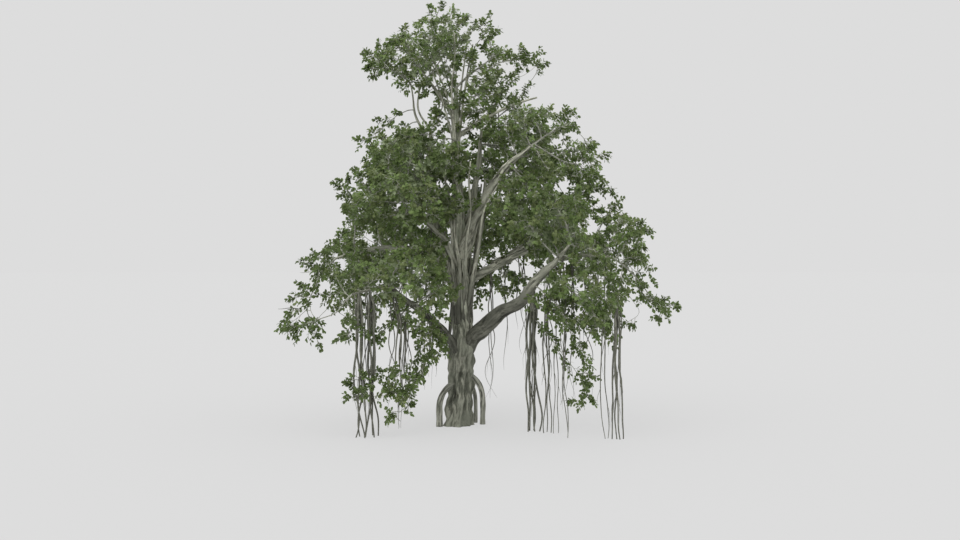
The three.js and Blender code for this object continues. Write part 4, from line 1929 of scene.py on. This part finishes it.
def bark_group() -> bpy.types.NodeTree:
    """The bark effect, built once: fibres along the grain, painted light on the ridges, painted shade
    in the creases, and blotches.

    Between two heights the colour comes to be added to itself, by a share called Painted Light:
    painted light that pales the upper wood against the crown's shade and leaves the foot darker.

    Returns:
        A node group. Its inputs are Grain and Place, Relief, the colours Shaded Crease, Body,
        Lit Ridge and Blotch, and Painted Light and its heights. Its outputs are Color, Roughness
        and Height.
    """
    name = "bark effect"
    if name in bpy.data.node_groups:
        return bpy.data.node_groups[name]
    group = bpy.data.node_groups.new(name, "ShaderNodeTree")
    for side, kind, labels in (
        ("INPUT", "Vector", ("Grain", "Place")),
        ("INPUT", "Color", ("Crease", "Body", "Ridge", "Blotch")),
        ("INPUT", "Float", ("Relief", "Fading", "Fading From", "Fading To")),
        ("OUTPUT", "Color", ("Color",)),
        ("OUTPUT", "Float", ("Roughness", "Height")),
    ):
        for label in labels:
            group.interface.new_socket(label, in_out=side, socket_type="NodeSocket" + kind)
    own = group.nodes.new("NodeGroupInput").outputs
    fibres = waves(group, own["Grain"], 26, 5, (1, 1, 0.22))
    strands = waves(group, own["Grain"], 9, 3, (1, 1, 0.28))
    blotches = waves(group, own["Place"], 1.3, 5, (1, 1, 0.7))
    specks = waves(group, own["Place"], 34, 3, (1, 1, 0.6))
    texture = sum_of(group, product_of(group, fibres, 1.2), product_of(group, strands, 1.8))
    # painted shade and light: the relief part darkens the creases and pales the ridges; the fibres and
    # strands are the bark's own grain
    shade = sum_of(group, sum_of(group, own["Relief"], -1.5), texture)
    patchy = spread(group, sum_of(group, blotches, product_of(group, specks, 0.2)), 0.44, 0.76, 0.1, 1)
    height = node(group, "SeparateXYZ", {0: own["Place"]}, "Z")
    # painted light: the colour is added to itself by a share that rises between two heights, so the upper
    # wood is paler against the crown's shade
    painted_light_share = product_of(group, spread(group, height, own["Fading From"], own["Fading To"]), own["Fading"])
    colour = mixed(group, spread(group, shade, 0.22, 0.48), own["Crease"], own["Body"])
    colour = mixed(group, spread(group, shade, 0.5, 0.85), colour, own["Ridge"])
    colour = mixed(group, patchy, colour, own["Blotch"])
    colour = mixed(group, painted_light_share, colour, colour, blend_type="ADD", clamp_factor=False)
    relief = sum_of(group, product_of(group, fibres, 0.65), product_of(group, specks, 0.3))
    feed(group, group.nodes.new("NodeGroupOutput"), {
        "Color": colour,
        "Roughness": product_of(group, fibres, 0.2, 0.76),
        "Height": sum_of(group, relief, product_of(group, strands, 0.6)),
    })
    return group


@dataclass(frozen=True)
class BarkFinish:
    """Bark: its colours, with painted shade and light among them, how deep its fine relief is in
    metres, and how much painted light it is given with height.
    """

    # crease and ridge are painted shade and painted light, laid on by the relief
    crease: Colour
    body: Colour
    ridge: Colour
    blotch: Colour
    depth: float
    # painted light added with height, against the crown's shade on the upper wood
    fading: float = 0.0
    painted_light_heights: tuple[float, float] = (5.6, 7.6)

    def material(self, name: str) -> bpy.types.Material:
        """The bark as a material, on the piece's own grain, relief and place.

        Args:
            name: the material's name.

        Returns:
            The material.
        """
        material, shader = new_material(name)
        tree = material.node_tree
        effect = tree.nodes.new("ShaderNodeGroup")
        effect.node_tree = bark_group()
        feed(tree, effect, {
            "Grain": node(tree, "Attribute", {}, "Vector", attribute_name="grain"),
            "Relief": node(tree, "Attribute", {}, "Fac", attribute_name="relief"),
            "Place": node(tree, "TexCoord", {}, "Object"),
            "Crease": (*self.crease, 1),
            "Body": (*self.body, 1),
            "Ridge": (*self.ridge, 1),
            "Blotch": (*self.blotch, 1),
            "Fading": self.fading,
            "Fading From": self.painted_light_heights[0],
            "Fading To": self.painted_light_heights[1],
        })
        feed(tree, shader, {
            "Base Color": effect.outputs["Color"],
            "Roughness": effect.outputs["Roughness"],
            "Normal": bump(tree, effect.outputs["Height"], self.depth, 0.8),
            "Specular IOR Level": 0.25,
        })
        return material


@dataclass(frozen=True)
class TwigFinish:
    """Smooth young bark, mottled between two colours."""

    dark: Colour
    pale: Colour
    depth: float = 0.004

    def material(self, name: str) -> bpy.types.Material:
        """The young bark as a material.

        Args:
            name: the material's name.

        Returns:
            The material.
        """
        material, shader = new_material(name)
        tree = material.node_tree
        mottle = waves(tree, node(tree, "TexCoord", {}, "Object"), 9, 4, (1, 1, 0.5))
        share = spread(tree, mottle, 0.35, 0.65)
        feed(tree, shader, {
            "Base Color": mixed(tree, share, (*self.dark, 1), (*self.pale, 1)),
            "Roughness": product_of(tree, mottle, 0.25, 0.65),
            "Normal": bump(tree, mottle, self.depth, 1),
            "Specular IOR Level": 0.3,
        })
        return material


@dataclass(frozen=True)
class LeafFinish:
    """A leathery leaf of one plain colour that lets some light through, and its share of the sprays."""

    colour: Colour
    share: float
    through: float = 1.6
    thinness: float = 0.32
    roughness: tuple[float, float] = (0.5, 0.7)
    depth: float = 0.01

    def material(self, name: str) -> bpy.types.Material:
        """The leaf as a material, whose gloss and surface vary over the blade.

        Args:
            name: the material's name.

        Returns:
            The material.
        """
        material, shader = new_material(name)
        tree = material.node_tree
        ripples = waves(tree, node(tree, "TexCoord", {}, "Object"), 22, 2, (1, 1, 1))
        feed(tree, shader, {
            "Base Color": (*self.colour, 1),
            "Roughness": spread(tree, ripples, 0.3, 0.7, *self.roughness),
            "Normal": bump(tree, ripples, self.depth, 0.5),
            "Specular IOR Level": 0.25,
        })
        lit = (*(min(1, self.through * part) for part in self.colour), 1)
        glow = node(tree, "BsdfTranslucent", {"Color": lit})
        both = node(tree, "MixShader", {"Fac": self.thinness, 1: shader.outputs[0], 2: glow})
        feed(tree, tree.nodes["Material Output"], {"Surface": both})
        return material


class LeafTint(Enum):
    """The colours of the leaves, dealt out by spray, partly by chance and partly as painted light."""

    DEEP = LeafFinish((0.086, 0.118, 0.042), 0.21)
    MID = LeafFinish((0.115, 0.163, 0.055), 0.22)
    OLIVE = LeafFinish((0.15, 0.185, 0.075), 0.19)
    FRESH = LeafFinish((0.17, 0.235, 0.083), 0.2)
    PALE = LeafFinish((0.235, 0.28, 0.163), 0.18)


# painted light: trunk and bough bark grow paler upwards by their fading share
TRUNK_BARK = BarkFinish(
    crease=(0.015, 0.015, 0.01), body=(0.088, 0.089, 0.067), ridge=(0.31, 0.31, 0.255),
    blotch=(0.155, 0.164, 0.128), depth=0.04, fading=1.7, painted_light_heights=(3.2, 8.2),
)
BOUGH_BARK = BarkFinish(
    crease=(0.01, 0.01, 0.007), body=(0.056, 0.056, 0.043), ridge=(0.18, 0.18, 0.147),
    blotch=(0.095, 0.097, 0.078), depth=0.03, fading=2.0,
)
STILT_BARK = BarkFinish(
    crease=(0.022, 0.022, 0.016), body=(0.108, 0.11, 0.088), ridge=(0.34, 0.34, 0.29),
    blotch=(0.19, 0.195, 0.16), depth=0.03,
)
ROOT_BARK = BarkFinish(
    crease=(0.035, 0.035, 0.026), body=(0.085, 0.085, 0.067), ridge=(0.19, 0.19, 0.155),
    blotch=(0.12, 0.122, 0.098), depth=0.006,
)
BRANCH_BARK = TwigFinish(dark=(0.17, 0.172, 0.14), pale=(0.36, 0.365, 0.31))
TWIG_BARK = TwigFinish(dark=(0.32, 0.325, 0.27), pale=(0.58, 0.585, 0.51))


# ---------------------------------------------------------------- studio


@dataclass(frozen=True)
class Studio:
    """A level camera in front of the tree, a plain pale floor, and soft light from all round."""

    focal_length: float = 41.36
    sensor: float = 36.0
    backdrop: float = 0.723
    sky: float = 1.4
    floor_radius: float = 3000.0
    floor_sides: int = 64
    floor_albedo: float = 0.12
    floor_glow: float = 0.542
    floor_bounce: float = 0.6
    sun_strength: float = 0.75
    sun_softness: float = 0.9
    sun_height: float = 0.65
    sun_side: float = -0.6

    def build(self) -> None:
        """Makes the camera, world, sun and floor."""
        self.add_camera()
        self.add_world()
        self.add_sun()
        self.add_floor()
        bpy.context.scene.view_settings.view_transform = "Standard"

    def add_camera(self) -> None:
        """A level camera that looks along +Y."""
        data = bpy.data.cameras.new("camera")
        data.lens = self.focal_length
        data.sensor_width = self.sensor
        data.clip_end = 2 * self.floor_radius
        camera = bpy.data.objects.new("camera", data)
        camera.location = EYE
        camera.rotation_euler = (math.pi / 2, 0, 0)
        bpy.context.scene.collection.objects.link(camera)
        bpy.context.scene.camera = camera

    def add_world(self) -> None:
        """An even sky that lights the tree, behind which the camera sees the backdrop's own grey."""
        world = bpy.data.worlds.new("studio")
        world.use_nodes = True
        tree = world.node_tree
        seen = node(tree, "LightPath", {}, "Is Camera Ray")
        strength = product_of(tree, seen, self.backdrop - self.sky, self.sky)
        feed(tree, tree.nodes["Background"], {"Color": WHITE, "Strength": strength})
        bpy.context.scene.world = world

    def add_sun(self) -> None:
        """A wide, soft sun from above, in front and to the left."""
        data = bpy.data.lights.new("sun", "SUN")
        data.energy = self.sun_strength
        data.angle = self.sun_softness
        sun = bpy.data.objects.new("sun", data)
        sun.rotation_euler = (math.pi / 2 - self.sun_height, 0, self.sun_side)
        bpy.context.scene.collection.objects.link(sun)

    def add_floor(self) -> None:
        """A round level floor, as a fan of triangles, that the camera sees as pale as the backdrop."""
        angles = ring_angles(self.floor_sides)
        rim = self.floor_radius * np.stack([np.cos(angles), np.sin(angles), 0 * angles], axis=1)
        spots = np.concatenate([np.zeros((1, 3)), rim])
        numbers = 1 + np.arange(self.floor_sides)
        faces = np.stack([0 * numbers, numbers, np.roll(numbers, -1)], axis=1)
        material, shader = new_material("floor")
        tree = material.node_tree
        seen = node(tree, "LightPath", {}, "Is Camera Ray")
        feed(tree, shader, {
            "Base Color": (*(self.floor_albedo,) * 3, 1),
            "Emission Color": WHITE,
            "Emission Strength": product_of(
                tree, seen, self.floor_glow - self.floor_bounce, self.floor_bounce
            ),
            "Roughness": 1.0,
            "Specular IOR Level": 0.0,
        })
        mesh_object("floor", spots, faces, material)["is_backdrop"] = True


# ---------------------------------------------------------------- assembly


def main() -> None:
    """Builds the tree in order: its lines, its growth, then each skin and the leaves."""
    logging.basicConfig(level=logging.INFO, format="%(name)s: %(message)s")
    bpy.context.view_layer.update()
    Studio().build()
    skeleton = Skeleton()
    growth = Growth(skeleton)
    tips = {name: growth.radii[number] for name, number in growth.limb_tips.items()}
    strands = [*Climbers(skeleton).lines(), *skeleton.twins(), *growth.bare_shoots()]
    sprays = Sprays(growth)
    barked = [
        Trunk(skeleton).build(TRUNK_BARK.material("trunk bark")),
        *Boughs(skeleton, tips, strands).build(
            BOUGH_BARK.material("bough bark"), STILT_BARK.material("stilt bark")
        ),
        Branches(growth).build(BRANCH_BARK.material("branch bark")),
        sprays.build(TWIG_BARK.material("twig bark")),
    ]
    roots = AerialRoots(skeleton).build(ROOT_BARK.material("root bark"))
    leaves = Leaves(sprays).build(LeafTint)
    for piece in [*barked, roots, *leaves]:
        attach(piece, "root")
        LOG.info("%s: %d triangles", piece.name, len(piece.data.polygons))


if __name__ == "__main__":
    main()
